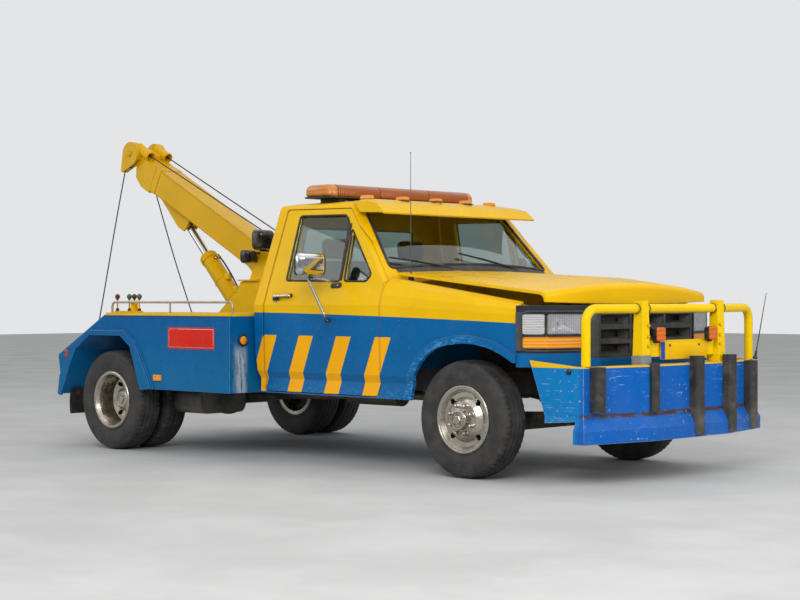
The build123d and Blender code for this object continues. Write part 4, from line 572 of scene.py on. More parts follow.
# Mesh tools. Every piece is modelled where it stands, so its own coordinates are the truck's.
class Piece:
    """Shapes that are gathered into one object, each with its own material."""

    def __init__(self):
        self.mesh = bmesh.new()
        self.finishes = []

    def add(self, form, finish, place=None):
        if place is not None:
            bmesh.ops.transform(form, matrix=place, verts=form.verts)
        bmesh.ops.recalc_face_normals(form, faces=form.faces)
        if finish not in self.finishes:
            self.finishes.append(finish)
        for face in form.faces:
            face.material_index = self.finishes.index(finish)
            face.smooth = True
        data = bpy.data.meshes.new("form")
        form.to_mesh(data)
        form.free()
        self.mesh.from_mesh(data)
        bpy.data.meshes.remove(data)
        return self

    def turned(self, profile, place, direction, finish, segments=24):
        return self.add(turned_form(profile, segments), finish, aim(place, direction))

    def tube(self, points, radius, finish, sides=10, capped=True):
        return self.add(tube_form(points, radius, sides, capped), finish)

    def loft(self, sections, finish, capped=True):
        return self.add(loft_form(sections, capped), finish)

    def block(self, low, high, finish, edge=0.003):
        return self.add(box_form(low, high, edge), finish)

    def done(self, name, body, slot, sharp=38, replaces=()):
        """The finished object on its body; one that blends between two bodies is given none here."""
        data = bpy.data.meshes.new(name)
        self.mesh.to_mesh(data)
        self.mesh.free()
        for finish in self.finishes:
            data.materials.append(finish)
        data.set_sharp_from_angle(angle=radians(sharp))
        made = bpy.data.objects.new(name, data)
        bpy.context.scene.collection.objects.link(made)
        if body:
            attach(made, body)
        if replaces:
            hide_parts(*replaces)
        return made


def aim(place, direction):
    """A placing whose Z points along the direction and whose Y is as upright as it can be."""
    z = Vector(direction).normalized()
    x = Vector((0, 0, 1)).cross(z)
    if x.length < 1e-4:
        x = Vector((1, 0, 0)).cross(z)
    x.normalize()
    y = z.cross(x)
    return Matrix.Translation(Vector(place)) @ Matrix((x, y, z)).transposed().to_4x4()


def box_form(low, high, edge=0.003):
    """A box between two corners, with rounded edges."""
    form = bmesh.new()
    low, high = Vector(low), Vector(high)
    place = Matrix.Translation((low + high) / 2) @ Matrix.Diagonal((*(high - low), 1.0))
    bmesh.ops.create_cube(form, size=1.0, matrix=place)
    bmesh.ops.bevel(form, geom=form.edges[:], offset=edge, segments=2, profile=0.5, affect="EDGES")
    return form


def turned_form(profile, segments=24):
    """A body of revolution about Z, from points given as radius and height."""
    form = bmesh.new()
    rings = []
    for radius, height in profile:
        count = segments if radius > 1e-6 else 1
        turns = [2 * pi * i / count for i in range(count)]
        rings.append([form.verts.new((radius * cos(turn), radius * sin(turn), height)) for turn in turns])
    for lower, upper in zip(rings, rings[1:]):
        for i in range(segments):
            corners = [lower[i % len(lower)], lower[(i + 1) % len(lower)], upper[(i + 1) % len(upper)],
                upper[i % len(upper)]]
            kept = [v for place, v in enumerate(corners) if v not in corners[:place]]
            if len(kept) > 2:
                form.faces.new(kept)
    return form


def plate_form(outline, depth, edge=0.0):
    """A plate with an outline in X and Y and this depth along Z, its edges rounded."""
    form = bmesh.new()
    floor = form.faces.new([form.verts.new((x, y, 0)) for x, y in outline])
    raised = bmesh.ops.extrude_face_region(form, geom=[floor])["geom"]
    bmesh.ops.translate(form, vec=(0, 0, depth),
        verts=[v for v in raised if isinstance(v, bmesh.types.BMVert)])
    if edge:
        bmesh.ops.bevel(form, geom=form.edges[:], offset=edge, segments=2, profile=0.5, affect="EDGES")
    return form


def tube_form(points, radius, sides=10, capped=True):
    """A round bar along points in space; radius is one number or one for each point."""
    form = bmesh.new()
    points = [Vector(p) for p in points]
    radii = radius if isinstance(radius, (list, tuple)) else [radius] * len(points)
    rings, across = [], None
    for place, point in enumerate(points):
        heading = (points[min(place + 1, len(points) - 1)] - points[max(place - 1, 0)]).normalized()
        if across is None:
            across = heading.orthogonal().normalized()
        across = (across - heading * across.dot(heading)).normalized()
        other = heading.cross(across)
        turns = [2 * pi * i / sides for i in range(sides)]
        rings.append([form.verts.new(point + (across * cos(turn) + other * sin(turn)) * radii[place])
            for turn in turns])
    for first, second in zip(rings, rings[1:]):
        for i in range(sides):
            form.faces.new([first[i], first[(i + 1) % sides], second[(i + 1) % sides], second[i]])
    if capped:
        form.faces.new(rings[0])
        form.faces.new(list(reversed(rings[-1])))
    return form


def sheet_form(rows, thickness=0.0):
    """A surface through rows of points, thickened if asked."""
    form = bmesh.new()
    grid = [[form.verts.new(point) for point in row] for row in rows]
    for row, following in zip(grid, grid[1:]):
        for i in range(len(row) - 1):
            form.faces.new([row[i], row[i + 1], following[i + 1], following[i]])
    if thickness:
        bmesh.ops.recalc_face_normals(form, faces=form.faces)
        bmesh.ops.solidify(form, geom=form.faces[:], thickness=thickness)
    return form


def softened(points, radius, steps=5):
    """A closed outline in two axes with each corner rounded."""
    made = []
    count = len(points)
    for place in range(count):
        corner = Vector(points[place])
        before, after = Vector(points[place - 1]) - corner, Vector(points[(place + 1) % count]) - corner
        reach = min(radius, before.length * 0.45, after.length * 0.45)
        start, end = corner + before.normalized() * reach, corner + after.normalized() * reach
        for step in range(steps + 1):
            t = step / steps
            made.append(start * (1 - t) ** 2 + corner * 2 * t * (1 - t) + end * t ** 2)
    return made


def box_outline(corner, far, radius, steps=5):
    """A rectangle's outline between two opposite corners, with its corners rounded."""
    (a, b), (c, d) = corner, far
    return softened([(a, b), (c, b), (c, d), (a, d)], radius, steps)


def curved(points, steps=8):
    """Points along one smooth line through the given points."""
    points = [Vector(p) for p in points]
    ends = [points[0] * 2 - points[1]] + points + [points[-1] * 2 - points[-2]]
    made = []
    for a, b, c, d in zip(ends, ends[1:], ends[2:], ends[3:]):
        for step in range(steps):
            t = step / steps
            made.append(0.5 * (2 * b + (c - a) * t + (2 * a - 5 * b + 4 * c - d) * t * t
                + (3 * b - a - 3 * c + d) * t ** 3))
    return made + [points[-1]]


def loft_form(sections, capped=True):
    """A skin over closed sections that have the same number of points each."""
    form = bmesh.new()
    rings = [[form.verts.new(point) for point in section] for section in sections]
    for first, second in zip(rings, rings[1:]):
        for i in range(len(first)):
            j = (i + 1) % len(first)
            form.faces.new([first[i], first[j], second[j], second[i]])
    if capped:
        form.faces.new(rings[0])
        form.faces.new(rings[-1])
    return form


BEND_STEPS = 6


def bent(points, radius):
    """An open line through the points with its corners rounded."""
    points = [Vector(p) for p in points]
    made = [points[0]]
    for before, corner, after in zip(points, points[1:], points[2:]):
        reach = min(radius, (before - corner).length * 0.45, (after - corner).length * 0.45)
        start = corner + (before - corner).normalized() * reach
        end = corner + (after - corner).normalized() * reach
        for step in range(BEND_STEPS + 1):
            t = step / BEND_STEPS
            made.append(start * (1 - t) ** 2 + corner * 2 * t * (1 - t) + end * t ** 2)
    return made + [points[-1]]


def box_between(corner, far, edge=0.003):
    """A box with rounded edges between any two opposite corners."""
    return box_form([min(pair) for pair in zip(corner, far)],
        [max(pair) for pair in zip(corner, far)], edge)


def ahead(x, y, z, side=1):
    """A place given ahead of the front axle, mirrored to this side."""
    return Vector((fx(x), side * y, z))


def bolt(piece, place, direction, size, finish, washer=True):
    """A hexagon bolt head with its washer, standing on a surface."""
    if washer:
        piece.turned([(0, 0), (size * 1.25, 0), (size * 1.25, size * 0.16), (0, size * 0.18)], place,
            direction, finish, 20)
    head = [(0, 0), (size * 0.98, 0), (size, size * 0.2), (size, size * 0.75), (size * 0.8, size * 0.92),
        (0, size * 0.95)]
    piece.turned(head, Vector(place) + Vector(direction).normalized() * size * 0.1, direction, finish, 6)


# The CAD pieces keep their shapes and take these finishes.
FINISHES = {
    yellow_paint: "hood boom_tower winches control_levers sun_visor",
    boom_paint: "boom_outer boom_inner boom_head lift_cylinder",
    bar_paint: "bull_bar",
    cab_paint: "cab_shell door_left door_right fender_left fender_right",
    nose_finish: "nose_panel",
    bumper_paint: "bumper",
    locker_paint: "wrecker_body",
    chassis_black: "frame leaf_springs driveshaft",
    cast_iron: "front_axle rear_axle engine knuckle_left knuckle_right",
    pipe_steel: "exhaust",
    rail_steel: "side_rails",
    tank_black: "fuel_tank",
    polished_rod: "lift_rod",
    chrome: "mirror_left mirror_right",
    wheel_chrome: "rim_front_left rim_front_right rims_rear_left rims_rear_right",
    black_plastic: "roof_feet work_lamps",
    grey_plastic: "grille",
    strip_rubber: "bumper_strips",
    amber_lens: "amber_lamps",
    red_lens: "tail_lamps",
    screen_glass: "windscreen",
    side_glass: "door_glass_left door_glass_right rear_window",
    dash_plastic: "dashboard steering_wheel",
    tyre: "tyre_front_left tyre_front_right tyres_rear_left tyres_rear_right",
    bar_lens: "light_bar",
    head_lens: "headlamps",
    rope_steel: "winch_lines",
    cloth: "seat",
}
for finish, names in FINISHES.items():
    for name in names.split():
        shown = nodes[name]
        if not shown.material_slots:
            shown.data.materials.append(finish)
        for material_slot in shown.material_slots:
            material_slot.material = finish


# Tyres: grooves round the tread, notched shoulders and moulded rings on the sidewalls.
TYRE_RADIUS, TYRE_HALF, RIM_RADIUS, RIM_HALF = 0.386, 0.1075, 0.222, 0.090
TREAD_STEPS = 180
GROOVE_PLACES = (0.020, 0.056)
GROOVE_WIDTH, GROOVE_DEPTH = 0.0042, 0.009


def tread_profile():
    """Half of the tyre's section from the bead to the middle of the tread, as radius and distance."""
    side = [(RIM_RADIUS - 0.012, RIM_HALF - 0.004), (RIM_RADIUS + 0.004, RIM_HALF + 0.002),
        (RIM_RADIUS + 0.012, RIM_HALF + 0.004), (RIM_RADIUS + 0.016, RIM_HALF + 0.0015),
        (RIM_RADIUS + 0.022, RIM_HALF + 0.003), (RIM_RADIUS + 0.045, RIM_HALF + 0.013),
        (RIM_RADIUS + 0.075, TYRE_HALF - 0.0006), (RIM_RADIUS + 0.092, TYRE_HALF),
        (RIM_RADIUS + 0.118, TYRE_HALF - 0.003), (RIM_RADIUS + 0.121, TYRE_HALF - 0.0062),
        (RIM_RADIUS + 0.126, TYRE_HALF - 0.0062), (RIM_RADIUS + 0.129, TYRE_HALF - 0.006),
        (TYRE_RADIUS - 0.018, TYRE_HALF - 0.012), (TYRE_RADIUS - 0.008, TYRE_HALF - 0.021),
        (TYRE_RADIUS - 0.0045, TYRE_HALF - 0.030), (TYRE_RADIUS - 0.0025, GROOVE_PLACES[1] + GROOVE_WIDTH)]
    for place in reversed(GROOVE_PLACES):
        crown = TYRE_RADIUS - 0.0022 * (place / 0.06) ** 2
        side += [(crown, place + GROOVE_WIDTH), (crown - GROOVE_DEPTH, place + GROOVE_WIDTH * 0.7),
            (crown - GROOVE_DEPTH, place - GROOVE_WIDTH * 0.7), (crown, place - GROOVE_WIDTH)]
    return side


def tyre_form(middle):
    """One tyre about the axle line through its middle; every third step of the tread is notched."""
    half = tread_profile()
    profile = half + [(radius, -out) for radius, out in reversed(half)]
    form = bmesh.new()
    rings = []
    for step in range(TREAD_STEPS):
        turn = 2 * pi * step / TREAD_STEPS
        notch = step % 3 == 0
        ring = []
        for radius, out in profile:
            on_shoulder = radius > TYRE_RADIUS - 0.0175 and 0.060 < abs(out) < 0.092
            on_rib = radius > TYRE_RADIUS - 0.004 and 0.048 < abs(out) < 0.0605
            dip = 0.0075 if notch and on_shoulder else 0.004 if notch and on_rib else 0.0
            ring.append(form.verts.new((middle.x + (radius - dip) * sin(turn), middle.y + out,
                middle.z + (radius - dip) * cos(turn))))
        rings.append(ring)
    for step in range(TREAD_STEPS):
        first, second = rings[step], rings[(step + 1) % TREAD_STEPS]
        for i in range(len(profile) - 1):
            form.faces.new([first[i], first[i + 1], second[i + 1], second[i]])
    return form


def tyre_valve(piece, middle, side, out, radius):
    """A short bent valve stem beside the hand hole."""
    foot = middle + Vector((radius * sin(0.6), side * out, radius * cos(0.6)))
    piece.tube(curved([foot, foot + Vector((0.004, side * 0.012, 0.006)),
        foot + Vector((0.012, side * 0.024, 0.018))], 4), 0.0032, rope_steel, 8)


DUAL_SPACING = 0.262
for name in ("tyre_front_left", "tyre_front_right", "tyres_rear_left", "tyres_rear_right"):
    low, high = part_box(name)
    side = 1 if "left" in name else -1
    body = name.replace("tyres_", "wheels_").replace("tyre_", "wheel_")
    centre_z = (low.z + high.z) / 2
    outer = Vector(((low.x + high.x) / 2, (high.y if side > 0 else low.y) - side * TYRE_HALF, centre_z))
    rubber = Piece().add(tyre_form(outer), tyre)
    if "tyres" in name:
        rubber.add(tyre_form(outer - LEFT * side * DUAL_SPACING), tyre)
    rubber.done(f"{name}_tread", body, "tyre_rubber", sharp=28, replaces=(name,))

# Wheel nuts, hub ends and bright lips.
NUT_COUNT = 8
FRONT_NUT_CIRCLE, REAR_NUT_CIRCLE = 0.096, 0.110
DOME_NUT = [(0, 0), (0.0165, 0), (0.0165, 0.004), (0.0145, 0.006), (0.0145, 0.020), (0.0135, 0.027),
    (0.010, 0.033), (0.005, 0.036), (0, 0.037)]
for side, hand in SIDES:
    outward = LEFT * side
    middle = Vector((FRONT_WHEEL.x, side * abs(FRONT_WHEEL.y), FRONT_WHEEL.z))
    fitted = Piece()
    for step in range(NUT_COUNT):
        turn = 2 * pi * (step + 0.5) / NUT_COUNT
        place = middle + Vector((sin(turn), 0,
            cos(turn))) * FRONT_NUT_CIRCLE + outward * (RIM_HALF + 0.010)
        fitted.turned([(0, 0), (0.021, 0), (0.021, 0.003), (0, 0.003)], place, outward, wheel_chrome, 20)
        fitted.turned(DOME_NUT, place + outward * 0.002, outward, wheel_chrome, 12)
    fitted.turned([(0, 0), (0.030, 0), (0.030, 0.006), (0.026, 0.009), (0, 0.010)],
        middle + outward * (RIM_HALF + 0.057), outward, wheel_chrome, 6)
    fitted.turned([(0.052, 0), (0.062, 0.001), (0.063, 0.006), (0.056, 0.010), (0.052, 0.008)],
        middle + outward * (RIM_HALF + 0.048), outward, wheel_chrome, 40)
    fitted.turned([(RIM_RADIUS - 0.016, 0.004), (RIM_RADIUS - 0.010, 0.011), (RIM_RADIUS - 0.002, 0.012),
        (RIM_RADIUS + 0.003, 0.006), (RIM_RADIUS + 0.001, 0)], middle + outward * RIM_HALF, outward,
        wheel_chrome, 72)
    for step in range(5):
        turn = 2 * pi * step / 5
        screw = middle + Vector((sin(turn), 0, cos(turn))) * 0.033 + outward * (RIM_HALF + 0.055)
        fitted.turned([(0, 0), (0.005, 0), (0.005, 0.004), (0, 0.005)], screw, outward, old_steel, 6)
    tyre_valve(fitted, middle, side, RIM_HALF - 0.015, 0.172)
    fitted.done(f"wheel_fittings_front_{hand}", f"wheel_front_{hand}", "chrome_trim")

    _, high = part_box("rims_rear_left")
    middle = Vector((REAR_WHEEL.x, side * (high.y - RIM_HALF - 0.006), REAR_WHEEL.z))
    fitted = Piece()
    for step in range(NUT_COUNT + 2):
        turn = 2 * pi * (step + 0.5) / (NUT_COUNT + 2)
        place = middle + Vector((sin(turn), 0, cos(turn))) * REAR_NUT_CIRCLE - outward * 0.094
        fitted.turned([(0, 0), (0.017, 0), (0.017, 0.003), (0.0145, 0.004), (0.0145, 0.022),
            (0.011, 0.024), (0, 0.025)], place, outward, old_steel, 6)
    fitted.turned([(0.0862, 0), (0.0885, 0.002), (0.0885, 0.010), (0.086, 0.012)],
        middle - outward * 0.092, outward, wheel_chrome, 48)
    fitted.turned([(0, 0.010), (0.020, 0.0095), (0.030, 0.008), (0.034, 0.002), (0.034, 0)],
        middle + outward * 0.004, outward, wheel_chrome, 32)
    fitted.turned([(RIM_RADIUS - 0.020, 0.001), (RIM_RADIUS - 0.013, 0.008), (RIM_RADIUS - 0.004, 0.009),
        (RIM_RADIUS + 0.002, 0.003), (RIM_RADIUS + 0.001, -0.002)], middle + outward * RIM_HALF, outward,
        wheel_chrome, 72)
    tyre_valve(fitted, middle, side, RIM_HALF - 0.03, 0.180)
    fitted.done(f"wheel_fittings_rear_{hand}", f"wheels_rear_{hand}", "chrome_trim")


# The cab's glass: rubber seals and the doors' trim.
SCREEN_RAKE = radians(48.7)
SCREEN_UP = Vector((-cos(SCREEN_RAKE), 0, sin(SCREEN_RAKE)))
SCREEN_OUT = Vector((sin(SCREEN_RAKE), 0, cos(SCREEN_RAKE)))
SCREEN_BASE = Vector((fx(-0.762), 0, 1.357))
SCREEN_HALF, SCREEN_BULGE = 0.866, 0.060
SCREEN_PANE = [(-0.842, 0.028), (0.842, 0.028), (0.738, 0.565), (-0.738, 0.565)]
BACK_PANE = [(-0.640, 1.345), (0.640, 1.345), (0.580, 1.700), (-0.580, 1.700)]
QUARTER_PANE = [(-1.103, 1.294), (-0.884, 1.291), (-0.846, 1.340), (-1.118, 1.664)]
MAIN_PANE = [(-1.700, 1.303), (-1.145, 1.295), (-1.158, 1.712), (-1.200, 1.762), (-1.678, 1.770)]
WAIST, ROOF_CORNER = Vector((0.968, 1.300)), Vector((0.822, 1.850))
BACK_X, BACK_Z, BACK_TOP_X, BACK_TOP_Z = -1.990, 1.164, -1.903, 1.880


def on_screen(across, up, out=0.0):
    """A place on the curved windscreen's outer skin."""
    bow = SCREEN_BULGE * (1 - (across / SCREEN_HALF) ** 2)
    return SCREEN_BASE + SCREEN_UP * up + SCREEN_OUT * (bow + out) + LEFT * across


def on_side(x, z, out=0.0, side=-1):
    """A place on the cab's leaning side, above the waist."""
    lean = (ROOF_CORNER.x - WAIST.x) / (ROOF_CORNER.y - WAIST.y)
    return Vector((fx(x), side * (WAIST.x + (z - WAIST.y) * lean + out), z))


def on_back(across, z, out=0.0):
    """A place on the cab's leaning back."""
    lean = (BACK_TOP_X - BACK_X) / (BACK_TOP_Z - BACK_Z)
    return Vector((fx(BACK_X + (z - BACK_Z) * lean - out), across, z))


def between(points, spacing=0.06):
    """The outline's points and more along its long runs, closed."""
    made = []
    for a, b in zip(points, points[1:] + points[:1]):
        steps = max(1, ceil((b - a).length / spacing))
        made += [a.lerp(b, step / steps) for step in range(steps)]
    return made + [points[0]]


seals = Piece()
outline = between(softened(SCREEN_PANE, 0.045))
seals.tube([on_screen(a, b, 0.001) for a, b in outline], 0.011, seal_rubber, 8, False)
outline = between(softened(BACK_PANE, 0.040))
seals.tube([on_back(a, b, 0.001) for a, b in outline], 0.010, seal_rubber, 8, False)
seals.done("glass_seals", "chassis", "rubber_black")
for side, hand in SIDES:
    door_trim = Piece()
    for pane in (QUARTER_PANE, MAIN_PANE):
        outline = between(softened(pane, 0.024))
        door_trim.tube([on_side(a, b, -0.001, side) for a, b in outline], 0.0075, seal_rubber, 8, False)
    post = [on_side(-1.124 - 0.012, 1.30, 0.001, side), on_side(-1.138 - 0.002, 1.70, 0.001, side)]
    door_trim.tube([post[0].lerp(post[1], t / 6) for t in range(7)], 0.013, seal_rubber, 8)
    door_trim.done(f"door_trim_{hand}", f"door_{hand}", "rubber_black")


# Mirrors: a bright barrel head on a bent tube, held by two black feet on the door.
MIRROR_SECTION = softened([(-0.036, -0.078), (0.010, -0.078), (0.036, -0.052), (0.038, 0.052),
    (0.010, 0.078), (-0.036, 0.078)], 0.030, 5)
MIRROR_X, MIRROR_Z = -1.204, 1.410
MIRROR_STEPS = ((1.090, 1.0), (1.270, 1.0), (1.292, 0.96), (1.306, 0.86), (1.313, 0.66), (1.315, 0.30))
for side, hand in SIDES:
    mirror = Piece()
    rings = [[ahead(MIRROR_X + p.x * size, y, MIRROR_Z + p.y * size, side) for p in MIRROR_SECTION]
        for y, size in MIRROR_STEPS]
    mirror.loft(rings, chrome)
    for start, end, size, finish in ((1.0985, 1.1045, 1.012, yellow_paint),
            (1.086, 1.0985, 1.016, seal_rubber)):
        mirror.loft([[ahead(MIRROR_X + p.x * size, y, MIRROR_Z + p.y * size, side) for p in MIRROR_SECTION]
            for y in (start, end)], finish)
    frame_line = between(box_outline((1.096, 1.340), (1.306, 1.480), 0.022))
    mirror.tube([ahead(-1.240, a, b, side) for a, b in frame_line], 0.006, seal_rubber, 8, False)
    pane = box_outline((1.100, 1.344), (1.302, 1.476), 0.020)
    mirror.loft([[ahead(x, p.x, p.y, side) for p in pane] for x in (-1.238, -1.242)], mirror_glass)
    arm = bent([ahead(-1.160, 0.965, 1.268, side), ahead(-1.168, 1.060, 1.300, side), ahead(-1.240, 1.190,
        1.322, side), ahead(-1.062, 1.190, 1.048, side), ahead(-1.210, 1.018, 1.030, side)], 0.040)
    mirror.tube(arm, 0.0095, tube_chrome, 12)
    mirror.turned([(0.013, 0), (0.017, 0.004), (0.017, 0.014), (0.013, 0.018)],
        ahead(MIRROR_X, 1.190, 1.312, side), (0, 0, 1), black_plastic, 20)
    foot = [(-0.050, -0.020), (0.040, -0.018), (0.052, -0.002), (0.040, 0.020), (-0.030, 0.020),
        (-0.052, 0.004)]
    for (x, y, z), size in (((-1.166, 0.975, 1.266), 1.0), ((-1.210, 1.016, 1.024), 0.62)):
        rings = [[ahead(x + p.x * size * grow, y + out, z + p.y * size * grow, side)
            for p in softened(foot, 0.014)]
            for out, grow in ((-0.018, 1.0), (0.010, 1.0), (0.020, 0.9), (0.026, 0.66))]
        mirror.loft(rings, black_plastic)
        bolt(mirror, ahead(x + 0.026 * size, y + 0.022, z, side), LEFT * side, 0.0055, chrome, False)
    mirror.done(f"mirror_{hand}_shape", f"door_{hand}", "chrome_trim", replaces=(f"mirror_{hand}",))

# Door handles and locks.
for side, hand in SIDES:
    fitted = Piece()
    bar = [ahead(-1.768, 1.020, 1.189, side), ahead(-1.764, 1.034, 1.190, side),
        ahead(-1.740, 1.039, 1.191, side), ahead(-1.640, 1.039, 1.195, side),
        ahead(-1.606, 1.035, 1.195, side), ahead(-1.600, 1.022, 1.193, side)]
    fitted.tube(curved(bar, 5), 0.0085, chrome, 12)
    fitted.add(plate_form([tuple(p) for p in box_outline((-0.092, -0.018), (0.092, 0.018), 0.014)], 0.004,
        0.0015), seal_rubber, aim(ahead(-1.690, 0.9995, 1.192, side), LEFT * side))
    lock = ahead(-1.752, 1.0085, 1.150, side)
    fitted.turned([(0, 0.010), (0.007, 0.010), (0.008, 0.008), (0.014, 0.006), (0.016, 0.001),
        (0.016, -0.01)], lock, LEFT * side, chrome, 24)
    corner, far = ahead(-1.778, 1.012, 1.160, side), ahead(-1.728, 1.030, 1.186, side)
    fitted.add(box_between(corner, far, 0.003), seal_rubber)
    fitted.done(f"door_handle_{hand}", f"door_{hand}", "chrome_trim")


# The nose: lamps behind their lenses, frames and the dark grille box.
NOSE_PLAN = ((0.0, 0.790), (0.520, 0.775), (0.610, 0.712), (0.885, 0.640), (0.972, 0.486))


def on_nose(y, z, out=0.0, side=-1):
    """A place on the nose's face at this distance from the middle."""
    for (y0, x0), (y1, x1) in zip(NOSE_PLAN, NOSE_PLAN[1:]):
        if y <= y1:
            break
    across = Vector((x1 - x0, y1 - y0)).normalized()
    share = (y - y0) / (y1 - y0)
    return ahead(x0 + (x1 - x0) * share + across.y * out, y - across.x * out, z, side)


def nose_panel_form(y_in, y_out, low, high, out, depth, side, round_by=0.012):
    """A block whose outline is a rounded rectangle on the nose's face."""
    loop = between(box_outline((y_in, low), (y_out, high), round_by), 0.03)[:-1]
    return loft_form([[on_nose(a, b, out, side) for a, b in loop],
        [on_nose(a, b, out - depth, side) for a, b in loop]])


HEAD_IN, HEAD_OUT, CORNER_IN, CORNER_OUT = 0.612, 0.888, 0.893, 0.966
LAMP_LOW, LAMP_HIGH, AMBER_LOW, AMBER_HIGH = 0.943, 1.077, 0.855, 0.935
for side, hand in SIDES:
    lamps = Piece()
    lamps.add(nose_panel_form(HEAD_IN, HEAD_OUT, LAMP_LOW, LAMP_HIGH, 0.003, 0.006, side, 0.018),
        head_lens)
    centre_y, centre_z = (HEAD_IN + HEAD_OUT) / 2, 1.015
    rings = []
    for depth, grow in ((0.008, 0.98), (0.030, 0.94), (0.044, 0.78), (0.058, 0.5), (0.062, 0.16)):
        loop = box_outline((HEAD_IN, LAMP_LOW), (HEAD_OUT, LAMP_HIGH), 0.018)
        rings.append([on_nose(centre_y + (p.x - centre_y) * grow, centre_z + (p.y - centre_z) * grow,
            -depth, side) for p in loop])
    lamps.loft(rings, reflector, False)
    bulb = on_nose(centre_y, centre_z, -0.058, side)
    lamps.turned([(0.0, 0.040), (0.009, 0.038), (0.013, 0.030), (0.013, 0.0)], bulb,
        (1, 0.2 * side, 0), reflector, 20)
    lamps.add(nose_panel_form(CORNER_IN, CORNER_OUT, LAMP_LOW, LAMP_HIGH, 0.004, 0.010, side, 0.008),
        side_lens)
    lamps.add(nose_panel_form(CORNER_IN, CORNER_OUT, 0.955, 1.075, -0.012, 0.003, side, 0.008), reflector)
    for y_in, y_out, low, high in ((HEAD_IN, HEAD_OUT, LAMP_LOW, LAMP_HIGH),
            (CORNER_IN, CORNER_OUT, LAMP_LOW, LAMP_HIGH), (HEAD_IN, CORNER_OUT, AMBER_LOW, AMBER_HIGH)):
        loop = between(box_outline((y_in, low), (y_out, high), 0.014), 0.03)
        lamps.tube([on_nose(a, b, 0.003, side) for a, b in loop], 0.0042, seal_rubber, 8, False)
    lamps.done(f"headlamp_set_{hand}", "chassis", "lamp_clear",
        replaces=("headlamps",) if side > 0 else ())
    rim = Piece()
    loop = between(box_outline((0.600, 0.842), (0.968, 1.090), 0.030), 0.03)
    rim.tube([on_nose(a, b, 0.001, side) for a, b in loop], 0.007, grey_plastic, 8, False)
    rim.add(nose_panel_form(0.9655, 0.986, 0.842, 1.088, 0.004, 0.030, side, 0.006), grey_plastic)
    rim.done(f"lamp_surround_{hand}", "chassis", "black_plastic")

shroud = Piece()
for y0, y1 in ((-0.500, -0.200), (-0.180, 0.180), (0.200, 0.500)):
    for z0, z1 in ((0.816, 0.880), (0.910, 0.974), (1.006, 1.068)):
        mouth = [Vector((fx(0.757), y, z)) for y, z in ((y0, z0), (y1, z0), (y1, z1), (y0, z1))]
        rear = [Vector((fx(0.700), y, z)) for y, z in ((y0 + 0.042, z0 + 0.016), (y1 - 0.042, z0 + 0.016),
            (y1 - 0.042, z1 - 0.012), (y0 + 0.042, z1 - 0.012))]
        shroud.loft([mouth, rear], grey_plastic, False)
shroud.block((fx(0.678), -0.508, 0.802), (fx(0.690), 0.508, 1.078), seal_rubber, 0.003)
shroud.done("grille_cells", "chassis", "black_plastic", sharp=30)


# Bumper bar fittings: fog lamps, blank plate, tube ends, tape and the side lamp.
FOG_Y, FOG_Z = 0.295, 0.944
for side, hand in SIDES:
    fog = Piece()
    face = box_outline((-0.043, -0.043), (0.043, 0.043), 0.014, 4)
    for finish, stations in ((fog_orange, ((1.080, 1.0), (1.087, 1.0), (1.091, 0.94))),
            (black_plastic, ((1.081, 1.04), (1.066, 1.04), (1.042, 0.92), (1.034, 0.66)))):
        fog.loft([[ahead(x, FOG_Y + p.x * size, FOG_Z + p.y * size, side) for p in face]
            for x, size in stations], finish)
    fog.add(box_between(ahead(1.020, 0.283, 0.888, side), ahead(1.070, 0.307, 0.912, side), 0.003),
        black_plastic)
    fog.done(f"fog_lamp_{hand}", "chassis", "lamp_amber")

plate = Piece()
plate.add(plate_form([tuple(p) for p in box_outline((-0.265, -0.058), (0.265, 0.058), 0.010)], 0.003,
    0.0008), plate_yellow, aim(ahead(1.042, 0.020, 0.838), (1, 0, 0)))
plate.add(plate_form([(-0.022, -0.056), (0.022, -0.056), (0.022, 0.056), (-0.022, 0.056)], 0.001),
    plate_blue, aim(ahead(1.0455, -0.220, 0.838), (1, 0, 0)))
for across in (-0.145, 0.185):
    bolt(plate, ahead(1.045, across, 0.871), (1, 0, 0), 0.007, old_steel)
plate.done("front_plate_blank", "chassis", "paint_yellow")

bar_fittings = Piece()
for side in (1, -1):
    for inner in (0.372, 0.480):
        bar_fittings.turned([(0.0305, 0), (0.0335, 0.002), (0.0335, 0.006), (0.0305, 0.008)],
            ahead(1.026, inner, 1.108, side) - LEFT * side * 0.004, LEFT * side, weld_rust, 32)
    for z in (0.870, 0.930, 1.000):
        bolt(bar_fittings, ahead(1.066, 0.405, z, side), (1, 0, 0), 0.0085, bar_paint)
tape = box_outline((0.983, -0.479), (1.069, -0.373), 0.010)
bar_fittings.loft([[Vector((fx(p.x + lean), p.y, z)) for p in tape]
    for z, lean in ((0.760, 0.0), (0.775, 0.001), (0.802, -0.001), (0.812, 0.0))], tape_grey)
side_lamp = [(0.017, 0), (0.019, 0.004), (0.017, 0.012), (0.010, 0.017), (0, 0.018)]
bar_fittings.turned(side_lamp, ahead(0.867, 0.960, 0.720, -1), (0.072, -0.997, 0), gloss_black, 28)
bar_fittings.done("bar_fittings", "chassis", "paint_yellow")


# Roof: the amber light bar in three lengths between its end caps, and the lamp bases.
BAR_X, BAR_LOW = -1.575, 1.899
BAR_JOINTS = (-0.700, -0.265, 0.265, 0.700)
BAR_SECTION = softened([(-0.145, 0.012), (0.145, 0.012), (0.138, 0.074), (0.104, 0.100), (-0.104, 0.100),
    (-0.138, 0.074)], 0.020, 4)


def bar_rings(stations):
    """Sections of the light bar: distance across the truck, and how much of the full section is there."""
    return [[Vector((fx(BAR_X) + p.x * size, y, BAR_LOW + 0.050 + (p.y - 0.050) * size))
        for p in BAR_SECTION] for y, size in stations]


